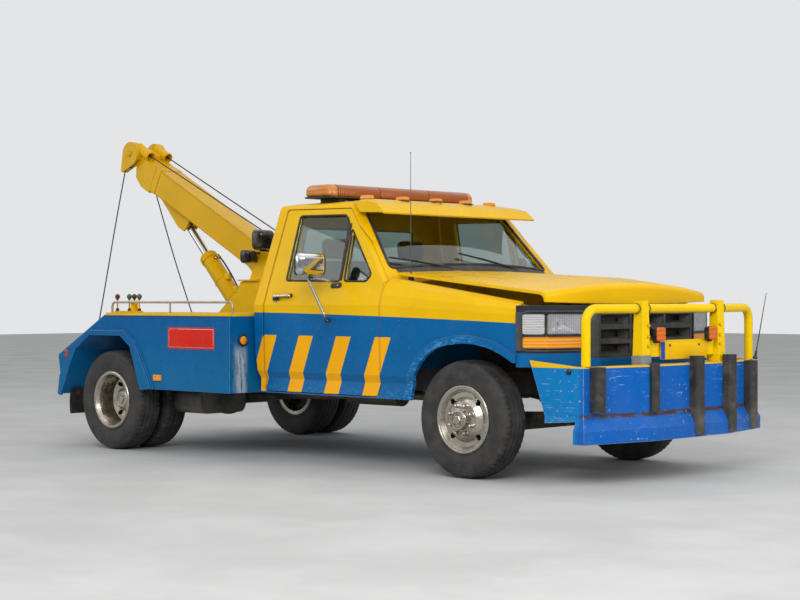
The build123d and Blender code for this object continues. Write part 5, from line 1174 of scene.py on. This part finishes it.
light_bar = Piece()
for start, end in zip(BAR_JOINTS, BAR_JOINTS[1:]):
    light_bar.loft(bar_rings(((start + 0.004, 0.985), (start + 0.012, 1.0), (end - 0.012, 1.0),
        (end - 0.004, 0.985))), bar_lens)
for side in (1, -1):
    light_bar.loft(bar_rings(((side * 0.704, 0.985), (side * 0.712, 1.0), (side * 0.752, 0.97),
        (side * 0.775, 0.84), (side * 0.785, 0.66))), bar_end_lens)
for y in BAR_JOINTS:
    light_bar.loft(bar_rings(((y - 0.005, 0.975), (y + 0.005, 0.975))), seal_rubber)
light_bar.block((fx(BAR_X) - 0.138, -0.775, BAR_LOW + 0.0005), (fx(BAR_X) + 0.138, 0.775, BAR_LOW + 0.013),
    black_plastic, 0.004)
for step in range(9):
    y = -0.62 + 1.24 * step / 8
    for ahead_by in (-1, 1):
        bolt(light_bar, (fx(BAR_X) + 0.132 * ahead_by, y, BAR_LOW + 0.013), (0, 0, 1), 0.004,
            old_steel, False)
light_bar.done("light_bar_lenses", "chassis", "lamp_amber", replaces=("light_bar",))

bases = Piece()
for x, y in ((-1.183, 0.661), (-1.183, -0.661), (-1.140, 0.342), (-1.140, -0.342), (-1.128, 0.0)):
    outline = box_outline((-0.050, -0.034), (0.050, 0.034), 0.020)
    low, high = 1.878 - 0.006 * abs(y) * 2, 1.887 - 0.006 * abs(y) * 2
    bases.loft([[Vector((fx(x) + p.x * size, y + p.y * size, z)) for p in outline]
        for z, size in ((low, 1.0), (high, 1.0), (high + 0.003, 0.93))], grey_plastic)
bases.done("roof_lamp_bases", "chassis", "black_plastic")


# Windscreen: wipers lie on the glass, over a black cowl.
wipers = Piece()
for foot, tip, blade in (((-0.300, -0.012), (-0.640, 0.075), 0.24),
        ((0.430, -0.012), (0.060, 0.080), 0.26)):
    start, end = on_screen(*foot, 0.010), on_screen(*tip, 0.016)
    wipers.tube([start, start.lerp(end, 0.3) + SCREEN_OUT * 0.006, end], [0.008, 0.006, 0.0045],
        black_plastic, 8)
    along = (Vector((tip[0], tip[1])) - Vector((foot[0], foot[1]))).normalized()
    holder = [on_screen(tip[0] + along.x * t, tip[1] + along.y * t + 0.004, 0.010)
        for t in (-blade, -blade * 0.5, 0.0, blade * 0.35, blade * 0.7)]
    wipers.tube(curved(holder, 5), 0.0045, black_plastic, 8)
    wipers.tube(curved([p - SCREEN_OUT * 0.006 for p in holder], 5), 0.0035, seal_rubber, 6)
    wipers.turned([(0, 0.02), (0.012, 0.018), (0.015, 0.010), (0.015, -0.02)], on_screen(*foot, 0.0),
        SCREEN_OUT, black_plastic, 20)
wipers.done("wipers", "chassis", "black_plastic")

cowl = Piece()
rows = []
for step in range(25):
    across = -0.80 + 1.60 * step / 24
    glass = on_screen(across, 0.026, 0.002)
    rows.append([glass, Vector((glass.x + 0.045, across, glass.z - 0.030)),
        Vector((max(fx(-0.700), glass.x + 0.055), across, glass.z - 0.046))])
cowl.add(sheet_form(rows, 0.002), black_plastic)
cowl.done("cowl", "chassis", "black_plastic")


# Aerials: a long one on the right fender and a whip at the left front corner.
aerials = Piece()
base = ahead(-0.575, -0.850, 1.314)
aerials.turned([(0.020, -0.02), (0.020, 0.004), (0.012, 0.012), (0.007, 0.034), (0.0045, 0.040),
    (0, 0.041)], base, (0, 0, 1), black_plastic, 20)
aerials.tube([base + Vector((0, 0, 0.03)), base + Vector((-0.002, 0, 0.45)),
    base + Vector((-0.004, 0, 0.845))], [0.0034, 0.0026, 0.0018], old_steel, 8)
aerials.turned([(0, 0.006), (0.0035, 0.004), (0.004, 0), (0.003, -0.006), (0, -0.007)],
    base + Vector((-0.004, 0, 0.848)), (0, 0, 1), old_steel, 12)
whip_foot, whip_top = ahead(1.000, 0.937, 0.756), ahead(1.000, 1.083, 1.209)
aerials.turned([(0.016, 0), (0.016, 0.012), (0.010, 0.020), (0.008, 0.055), (0, 0.058)], whip_foot,
    whip_top - whip_foot, black_plastic, 16)
aerials.tube([whip_foot, whip_foot.lerp(whip_top, 0.5), whip_top],
    [0.0048, 0.0036, 0.0022], seal_rubber, 8)
aerials.done("aerials", "chassis", "dark_steel")


# Work lamps: glossy rounded shells with their lenses turned to the rear.
def lamp_shell(piece, centre, half, finish):
    """A rounded shell whose domed back faces forward and whose lens faces the rear."""
    outline = box_outline((-half.y, -half.z), (half.y, half.z), half.z * 0.55, 6)
    rings = []
    for ahead_by, size in ((-1.0, 0.99), (-0.8, 1.0), (0.1, 0.99), (0.55, 0.93), (0.82, 0.80),
            (0.95, 0.60), (1.0, 0.3)):
        rings.append([centre + Vector((half.x * ahead_by, p.x * size, p.y * size)) for p in outline])
    piece.loft(rings, finish)
    rim = [centre + Vector((-half.x, p.x * 0.97, p.y * 0.97)) for p in outline]
    piece.tube(rim + [rim[0]], 0.005, seal_rubber, 8, False)
    lens_rings = [[centre + Vector((-half.x - out, p.x * size, p.y * size)) for p in outline]
        for out, size in ((-0.004, 0.93), (0.002, 0.92), (0.005, 0.80))]
    piece.loft(lens_rings, head_lens)


work = Piece()
lamp_shell(work, Vector((rx(0.755), -0.268, 1.640)), Vector((0.052, 0.082, 0.078)), gloss_black)
lamp_shell(work, Vector((rx(0.512), -0.212, 1.513)), Vector((0.042, 0.057, 0.050)), gloss_black)
work.tube(bent([(rx(0.712), -0.132, 1.555), (rx(0.712), -0.283, 1.555), (rx(0.730), -0.283, 1.600)], 0.02),
    0.008, gloss_black, 10)
work.tube(bent([(rx(0.540), -0.130, 1.541), (rx(0.540), -0.170, 1.541), (rx(0.530), -0.190, 1.530)], 0.01),
    0.008, gloss_black, 10)
bolt(work, (rx(0.712), -0.283, 1.545), (0, 0, -1), 0.008, old_steel)
work.done("work_lamp_shells", "chassis", "black_plastic", replaces=("work_lamps",))


# Control levers: coloured knobs and rubber boots.
levers = Piece()
for place, finish in zip((-0.012, 0.140, 0.203, 0.266), (knob_red, knob_green, knob_black, knob_green)):
    levers.turned([(0, 0.0215), (0.010, 0.019), (0.0185, 0.010), (0.0205, 0), (0.018, -0.010),
        (0.011, -0.018), (0.008, -0.026), (0, -0.026)], (rx(place), -1.125, 1.191), (0, 0, 1), finish, 24)
    levers.turned([(0.013, 0), (0.015, 0.004), (0.012, 0.016), (0.008, 0.022), (0.0065, 0.022)],
        (rx(place), -1.125, 1.080), (0, 0, 1), seal_rubber, 20)
levers.done("lever_knobs", "chassis", "black_plastic")


# Wrecker body: blank signs, lamps, mud flaps and lashing rings.
BODY_SKIN, SIGN_X, SIGN_Z = 1.215, -2.473, 0.881
for side, hand in SIDES:
    signs = Piece()
    outline = box_outline((-0.270, -0.081), (0.270, 0.081), 0.006, 3)
    signs.loft([[ahead(SIGN_X + p.x, BODY_SKIN + out, SIGN_Z + p.y, side) for p in outline]
        for out in (0.0002, 0.0014)], stripe_red)
    outline = box_outline((-0.255, -0.066), (0.255, 0.066), 0.006, 3)
    border = between(outline, 0.05)
    signs.add(sheet_form([[ahead(SIGN_X + p.x * grow, BODY_SKIN + 0.0018, SIGN_Z + p.y * grow_up, side)
        for grow, grow_up in ((1.0, 1.0), (1.012, 1.045))] for p in border], 0.0004), sign_white)
    signs.done(f"blank_sign_{hand}", "chassis", "paint_yellow")

    lamps = Piece()
    front = ahead(-2.035, 1.092, 0.871, side) + Vector((0.0006, 0, 0))
    lamps.turned([(0.043, 0), (0.043, 0.010), (0.036, 0.015), (0.032, 0.012)], front, (1, 0, 0),
        seal_rubber, 36)
    lamps.turned([(0, 0.024), (0.016, 0.023), (0.027, 0.018), (0.033, 0.010), (0.033, 0.0)], front,
        (1, 0, 0), amber_lens, 36)
    disc = ahead(-4.037, BODY_SKIN + 0.0006, 0.732, side)
    lamps.turned([(0.034, 0), (0.034, 0.006), (0.029, 0.009), (0, 0.010)], disc, LEFT * side, red_lens, 36)
    lamps.turned([(0.037, 0), (0.037, 0.004), (0.034, 0.006)], disc, LEFT * side, old_steel, 36)
    lamps.done(f"body_lamps_{hand}", "chassis", "lamp_amber")

    flaps = Piece()
    flap = []
    for row in range(7):
        z = 0.46 - 0.21 * row / 6
        bow = 0.012 * sin(pi * row / 6)
        flap.append([Vector((rx(-0.588 - bow - 0.010 * row / 6), side * (0.68 + 0.48 * col / 8), z))
            for col in range(9)])
    flaps.add(sheet_form(flap, 0.008), strip_rubber)
    for y in (0.74, 0.92, 1.10):
        bolt(flaps, (rx(-0.600), side * y, 0.442), (-1, 0, 0), 0.010, old_steel)
    flaps.done(f"mud_flap_{hand}", "chassis", "rubber_black")

for side, hand in SIDES:
    rings = Piece()
    for x in (1.18, 0.60, 0.02):
        loop = [Vector((rx(x) + 0.034 * cos(2 * pi * t / 20), side * 0.560,
            0.947 + 0.030 + 0.030 * sin(2 * pi * t / 20))) for t in range(21)]
        rings.tube(loop, 0.006, old_steel, 8, False)
        rings.tube(bent([(rx(x) - 0.02, side * 0.560, 0.946), (rx(x) - 0.014, side * 0.560, 0.962),
            (rx(x) + 0.014, side * 0.560, 0.962), (rx(x) + 0.02, side * 0.560, 0.946)], 0.008),
            0.007, old_steel, 8)
    rings.done(f"lashing_rings_{hand}", "chassis", "dark_steel")


# Boom: ropes, weld beads, pins, sheaves and the hose to the lift cylinder.
def route_line(points, resolution):
    """The points of one smooth line, as a curve on this route with no bevel has them."""
    data = bpy.data.curves.new("route", "CURVE")
    data.dimensions = "3D"
    data.resolution_u = resolution
    spline = data.splines.new("NURBS")
    spline.points.add(len(points) - 1)
    for point, place in zip(spline.points, points):
        point.co = (*place, 1.0)
    spline.order_u = 3
    spline.use_endpoint_u = True
    holder = bpy.data.objects.new("route", data)
    line = bpy.data.meshes.new_from_object(holder)
    found = [vertex.co.copy() for vertex in line.vertices]
    bpy.data.meshes.remove(line)
    bpy.data.objects.remove(holder)
    bpy.data.curves.remove(data)
    return found


STRANDS, ROPE_SIDES, LAY_LENGTH = 6, 18, 0.075


def rope_form(line, radius):
    """A laid wire rope: strands that wind round the line."""
    form = bmesh.new()
    rings, gone, across = [], 0.0, None
    for place, point in enumerate(line):
        heading = (line[min(place + 1, len(line) - 1)] - line[max(place - 1, 0)]).normalized()
        if across is None:
            across = heading.orthogonal().normalized()
        across = (across - heading * across.dot(heading)).normalized()
        other = heading.cross(across)
        if place:
            gone += (point - line[place - 1]).length
        twist = 2 * pi * gone / LAY_LENGTH
        ring = []
        for i in range(ROPE_SIDES):
            turn = 2 * pi * i / ROPE_SIDES
            lobe = 0.84 + 0.16 * abs(cos(STRANDS / 2 * (turn - twist)))
            ring.append(form.verts.new(point + (across * cos(turn) + other * sin(turn)) * radius * lobe))
        rings.append(ring)
    for first, second in zip(rings, rings[1:]):
        for i in range(ROPE_SIDES):
            j = (i + 1) % ROPE_SIDES
            form.faces.new([first[i], first[j], second[j], second[i]])
    form.faces.new(rings[0])
    form.faces.new(rings[-1])
    return form


ROPE_SIZE = 0.011
for side, hand in SIDES:
    route = [on_boom(-0.020, 0.2138, side * 0.074), on_boom(0.60, 0.1902, side * 0.0809),
        on_boom(1.20, 0.1672, side * 0.0876), on_boom(1.779, 0.1450, side * 0.0940)]
    line = route_line(route, 110)
    rope = Piece().add(rope_form(line, ROPE_SIZE / 2), rope_steel).done(f"winch_rope_{hand}", None,
        "wire_rope", replaces=("winch_lines",) if side > 0 else ())
    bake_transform(rope)

DOWN_LINES = {
    "near": [(-4.690, -0.125, 2.360), (-4.560, -0.330, 1.880), (-4.270, -0.660, 1.310),
        (-3.985, -0.965, 0.862)],
    "far": [(-4.672, 0.130, 2.260), (-4.400, 0.120, 1.660), (-4.190, 0.120, 1.230),
        (-3.990, 0.120, 0.850)],
}
for name, route in DOWN_LINES.items():
    route = [ahead(*place) for place in route]
    line = route_line(route, 100)
    heading = (route[-1] - route[-2]).normalized()
    rope = Piece().add(rope_form(line, ROPE_SIZE / 2), rope_steel).done(f"down_line_{name}",
        "boom_slide", "wire_rope")
    along = (route[-1] - route[0]).normalized()
    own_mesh(rope)
    end = Piece()
    end.turned([(0, -0.055), (0.0085, -0.055), (0.0095, -0.050), (0.0095, -0.004), (0.007, 0.0), (0, 0)],
        route[-1] + heading * 0.004, heading, old_steel, 16)
    across = heading.orthogonal().normalized()
    eye = [route[-1] + heading * (0.022 - 0.020 * cos(turn)) + across * 0.014 * sin(turn)
        for turn in [2 * pi * t / 20 for t in range(21)]]
    end.tube(eye, 0.0045, old_steel, 8, False)
    hook = [route[-1] + heading * out + across * over for out, over in ((0.030, 0.0), (0.052, 0.002),
        (0.070, 0.014), (0.078, 0.0), (0.070, -0.015), (0.056, -0.017))]
    end.tube(curved(hook, 5), [0.007] * 20 + [0.006, 0.005, 0.0045, 0.004, 0.003, 0.002], old_steel, 10)
    hung = end.done(f"hook_{name}", "boom_slide", "dark_steel")
    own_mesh(hung)

fittings = Piece()
for side in (1, -1):
    drum_line = []
    for step in range(14 * 24 + 1):
        turn = 2 * pi * step / 24
        across = side * (0.022 + 0.068 * step / (14 * 24))
        drum_line.append(on_boom(-0.020 + 0.0445 * cos(turn), 0.168 + 0.0445 * sin(turn), across))
    fittings.tube(drum_line, 0.0046, rope_steel, 8)
fittings.done("drum_ropes", "boom", "wire_rope")

SHEAVE_ALONG, SHEAVE_UP, SHEAVE_OUT = 1.867, 0.078, 0.130
MOUTH_UP, MOUTH_OUT = 0.145, 0.094
head_parts = Piece()
for side in (1, -1):
    wheel = [(0, -0.012), (0.078, -0.012), (0.080, -0.009), (0.070, -0.003), (0.070, 0.003),
        (0.080, 0.009), (0.078, 0.012), (0, 0.012)]
    head_parts.turned(wheel, on_boom(SHEAVE_ALONG, SHEAVE_UP, side * SHEAVE_OUT), LEFT, old_steel, 48)
    for face in (1, -1):
        bolt(head_parts, on_boom(SHEAVE_ALONG, SHEAVE_UP, side * SHEAVE_OUT + face * 0.0285), LEFT * face,
            0.017, boom_paint)
    for along in (1.664, 1.846):
        head_parts.turned([(0.0345, -0.003), (0.0445, -0.004), (0.0465, 0.0), (0.0445, 0.004),
            (0.0345, 0.003)], on_boom(along, MOUTH_UP, side * MOUTH_OUT), BOOM_DIR, boom_paint, 40)
head_parts.done("head_sheaves", "boom_slide", "dark_steel")

welds = Piece()
for side in (1, -1):
    for up in (0.0985, -0.1005):
        bead = [on_boom(0.02 + 1.42 * t / 60, up + 0.0009 * sin(2.1 * t), side * 0.1105)
            for t in range(61)]
        welds.tube(bead, 0.0034, boom_paint, 6)
welds.done("boom_welds", "boom", "paint_yellow")

tower_parts = Piece()
for side in (1, -1):
    for place, size in ((PIVOT, 0.034), (CYLINDER_FOOT, 0.026)):
        reach = 0.1345 if place is PIVOT else 0.098
        tower_parts.turned([(0, 0.012), (size * 0.86, 0.012), (size, 0.009), (size, 0)],
            place + LEFT * side * reach, LEFT * side, old_steel, 32)
        bolt(tower_parts, place + LEFT * side * (reach + 0.010), LEFT * side, 0.010, old_steel, False)
for x in (0.700, 0.560, 0.420, 0.260, 0.100):
    for side in (1, -1):
        bolt(tower_parts, (rx(x), side * 0.2105, 0.955), (0, 0, 1), 0.012, yellow_paint)
tower_parts.done("tower_pins", "chassis", "dark_steel")

# The lift cylinder's hose: fitting near the barrel's top, clamps, and the feed that goes into the tower.
barrel = joint_places["rod_slide"] - CYLINDER_FOOT
CYLINDER_DIR = Vector((barrel.x, 0, barrel.z)).normalized()
CYLINDER_OUT = Vector((CYLINDER_DIR.z, 0, -CYLINDER_DIR.x))


def on_barrel(along, out, across=0.0):
    """A place along the lift cylinder from its foot, out towards the cab, and to the left."""
    return CYLINDER_FOOT + CYLINDER_DIR * along + CYLINDER_OUT * out + LEFT * across


gear = Piece()
for along in (0.150, 0.360):
    band = [on_barrel(along, 0.0715 * cos(t), 0.0715 * sin(t))
        for t in [2 * pi * s / 40 for s in range(41)]]
    gear.tube(band, 0.0035, yellow_paint, 8, False)
gear.turned([(0, 0), (0.017, 0), (0.017, 0.014), (0.013, 0.018), (0.013, 0.034), (0, 0.034)],
    on_barrel(0.560, 0.068, -0.010), CYLINDER_OUT, brass, 6)
gear.turned([(0, 0), (0.014, 0), (0.014, 0.012), (0.012, 0.040), (0, 0.042)],
    on_barrel(0.560, 0.104, -0.010), -CYLINDER_DIR + CYLINDER_OUT * 0.25, brass, 12)
hose = curved([on_barrel(0.540, 0.108, -0.010), on_barrel(0.470, 0.124, -0.014),
    on_barrel(0.330, 0.128, -0.020), on_barrel(0.180, 0.118, -0.024), on_barrel(0.060, 0.095, -0.020),
    on_barrel(0.020, 0.060, -0.010)], 8)
gear.tube(hose, 0.0072, hose_rubber, 12)
for along in (0.330, 0.180):
    gear.block(on_barrel(along, 0.066, -0.040) - Vector((0.012, 0, 0.012)),
        on_barrel(along, 0.112, -0.002) + Vector((0.012, 0, 0.012)), yellow_paint, 0.003)
gear.turned([(0.034, 0), (0.066, 0.001), (0.070, 0.006), (0.070, 0.030), (0.071, 0.032), (0.071, 0.040)],
    on_barrel(0.655, 0.0), -CYLINDER_DIR, boom_paint, 48)
gear.done("cylinder_hose", "cylinder", "rubber_black")


# Cab: the padded seat, its backrest and the headrests.
CUSHION_CUTS = 14


def cushion_form(low, high, crown, across_cuts=()):
    """A padded block whose top is crowned and pulled in along sewn channels."""
    low, high = Vector(low), Vector(high)
    middle, half = (low + high) / 2, (high - low) / 2
    form = bmesh.new()
    bmesh.ops.create_cube(form, size=2.0)
    bmesh.ops.subdivide_edges(form, edges=form.edges[:], cuts=CUSHION_CUTS, use_grid_fill=True)
    for vert in form.verts:
        x, y, z = vert.co
        round_by = (1 - abs(x) ** 6) * (1 - abs(y) ** 8)
        pinch = sum(max(0.0, 1 - abs(y * half.y - cut) / 0.012) for cut in across_cuts)
        swell = crown * round_by * (1 - 0.6 * pinch)
        size = Vector((half.x - 0.02 * (1 - (1 - abs(y) ** 8)), half.y - 0.02 * abs(x) ** 6 * abs(z) ** 4,
            half.z - 0.018 * (1 - round_by)))
        vert.co = Vector((middle.x + x * size.x, middle.y + y * size.y,
            middle.z + z * size.z + swell * (z > 0.5)))
    return form


def cushion(name, low, high, crown, cuts=(), lean=0.0):
    """A seat cushion, laid flat and then turned about its rear lower edge."""
    made = Piece()
    pivot = Vector((low[0], 0, low[2]))
    turn = Matrix.Translation(pivot) @ Matrix.Rotation(lean, 4, "Y") @ Matrix.Translation(-pivot)
    made.add(cushion_form(low, high, crown, cuts), cloth, turn)
    shown = made.done(name, "chassis", "seat_cloth", sharp=60,
        replaces=("seat",) if name == "seat_cushion" else ())
    rounding = shown.modifiers.new("rounding", "SUBSURF")
    rounding.levels = rounding.render_levels = 1


cushion("seat_cushion", (fx(-1.800), -0.735, 0.765), (fx(-1.325), 0.735, 0.925), 0.030,
    (-0.36, -0.06, 0.06, 0.36))
cushion("seat_backrest", (fx(-1.800), -0.735, 1.445), (fx(-1.295), 0.735, 1.545), 0.020,
    (-0.06, 0.06), radians(84))
for side, hand in SIDES:
    cushion(f"headrest_{hand}", (fx(-1.806), side * 0.4 - 0.132, 1.615),
        (fx(-1.656), side * 0.4 + 0.132, 1.685), 0.008, (), radians(86))
    posts = Piece()
    for across in (-0.06, 0.06):
        posts.tube([(fx(-1.765), side * 0.4 + across, 1.425), (fx(-1.765), side * 0.4 + across, 1.475)],
            0.006, chrome, 10)
    posts.done(f"headrest_posts_{hand}", "chassis", "chrome_trim")


# The floor, the lights and the camera.
def pale_stage():
    """A wide pale floor with a soft concrete grain."""
    made, tree, sockets = material("pale floor", color("c9c9c7"), 0.85)
    place = position(tree)
    tone = noise(place, 1.1, 5.0, 0.6)
    wire(sockets, Base_Color=mixed(ramp(tone, 0.3, 0.7), color("c2c2c0"), color("cfcfcd")),
        Normal=bump(noise(place, 60.0, 3.0), 0.002, 0.2))
    half, cells = 40.0, 8
    steps = [half * (2 * i / cells - 1) for i in range(cells + 1)]
    form = sheet_form([[(x, y, 0) for x in steps] for y in steps])
    data = bpy.data.meshes.new("floor")
    form.to_mesh(data)
    form.free()
    data.materials.append(made)
    floor = bpy.data.objects.new("floor", data)
    bpy.context.scene.collection.objects.link(floor)


def soft_sky():
    """An even pale sky; metal and glass see it brighter overhead than at the horizon."""
    world = bpy.context.scene.world or bpy.data.worlds.new("sky")
    bpy.context.scene.world = world
    world.use_nodes = True
    tree = world.node_tree
    tree.nodes.clear()
    z = axes(node(tree, "ShaderNodeTexCoord").outputs["Generated"])["Z"]
    gloss = mixed(ramp(z, 0.02, 0.55), color("8b9095"), color("ffffff"))
    gloss = mixed(calc("LESS_THAN", z, -0.02), gloss, color("6a6864"))
    rays = node(tree, "ShaderNodeLightPath").outputs
    seen = mixed(rays["Is Camera Ray"], mixed(rays["Is Glossy Ray"], color("f2f4f7"), gloss),
        color("e4e5e7"))
    strength = most(most(rays["Is Camera Ray"], rays["Is Transmission Ray"]),
        calc("MULTIPLY_ADD", rays["Is Glossy Ray"], 0.45, 0.55))
    sky = node(tree, "ShaderNodeBackground", {"Color": seen, "Strength": strength})
    tree.links.new(sky.outputs[0], node(tree, "ShaderNodeOutputWorld").inputs[0])


def soft_lamp(name, place, target, size, power):
    data = bpy.data.lights.new(name, "AREA")
    data.shape = "RECTANGLE"
    data.size, data.size_y = size
    data.energy = power
    lamp = bpy.data.objects.new(name, data)
    lamp.matrix_world = aim(place, Vector(place) - Vector(target))
    bpy.context.scene.collection.objects.link(lamp)


pale_stage()
soft_sky()
soft_lamp("key", (8.0, -9.5, 6.8), (0.5, 0, 0.8), (7.0, 5.0), 780)
soft_lamp("overhead", (-1.0, 1.0, 9.5), (0, 0, 0.8), (10.0, 6.0), 130)
soft_lamp("fill", (-9.0, -7.0, 4.0), (0, 0, 0.9), (6.0, 4.0), 120)
soft_lamp("front", (10.0, 1.5, 4.5), (1.5, 0, 0.8), (5.0, 4.0), 220)

FOCAL_LENGTH, SENSOR_WIDTH = 76.89, 36.0
CAMERA_PLACE = Vector((1.785 + 7.396152687, -9.264335866, 1.170876257))
CAMERA_TURN, CAMERA_DIP, CAMERA_ROLL = radians(43.821678), radians(0.036876), radians(-0.074469)
heading = Vector((-sin(CAMERA_TURN) * cos(CAMERA_DIP), cos(CAMERA_TURN) * cos(CAMERA_DIP),
    -sin(CAMERA_DIP)))
right = heading.cross(Vector((0, 0, 1))).normalized()
above = right.cross(heading)
tilted_right = right * cos(CAMERA_ROLL) + above * sin(CAMERA_ROLL)
tilted_up = above * cos(CAMERA_ROLL) - right * sin(CAMERA_ROLL)
lens = bpy.data.cameras.new("camera")
lens.lens, lens.sensor_width = FOCAL_LENGTH, SENSOR_WIDTH
camera = bpy.data.objects.new("camera", lens)
camera.matrix_world = (Matrix.Translation(CAMERA_PLACE)
    @ Matrix((tilted_right, tilted_up, -heading)).transposed().to_4x4())
bpy.context.scene.collection.objects.link(camera)
bpy.context.scene.camera = camera
bpy.context.scene.view_settings.view_transform = "Standard"
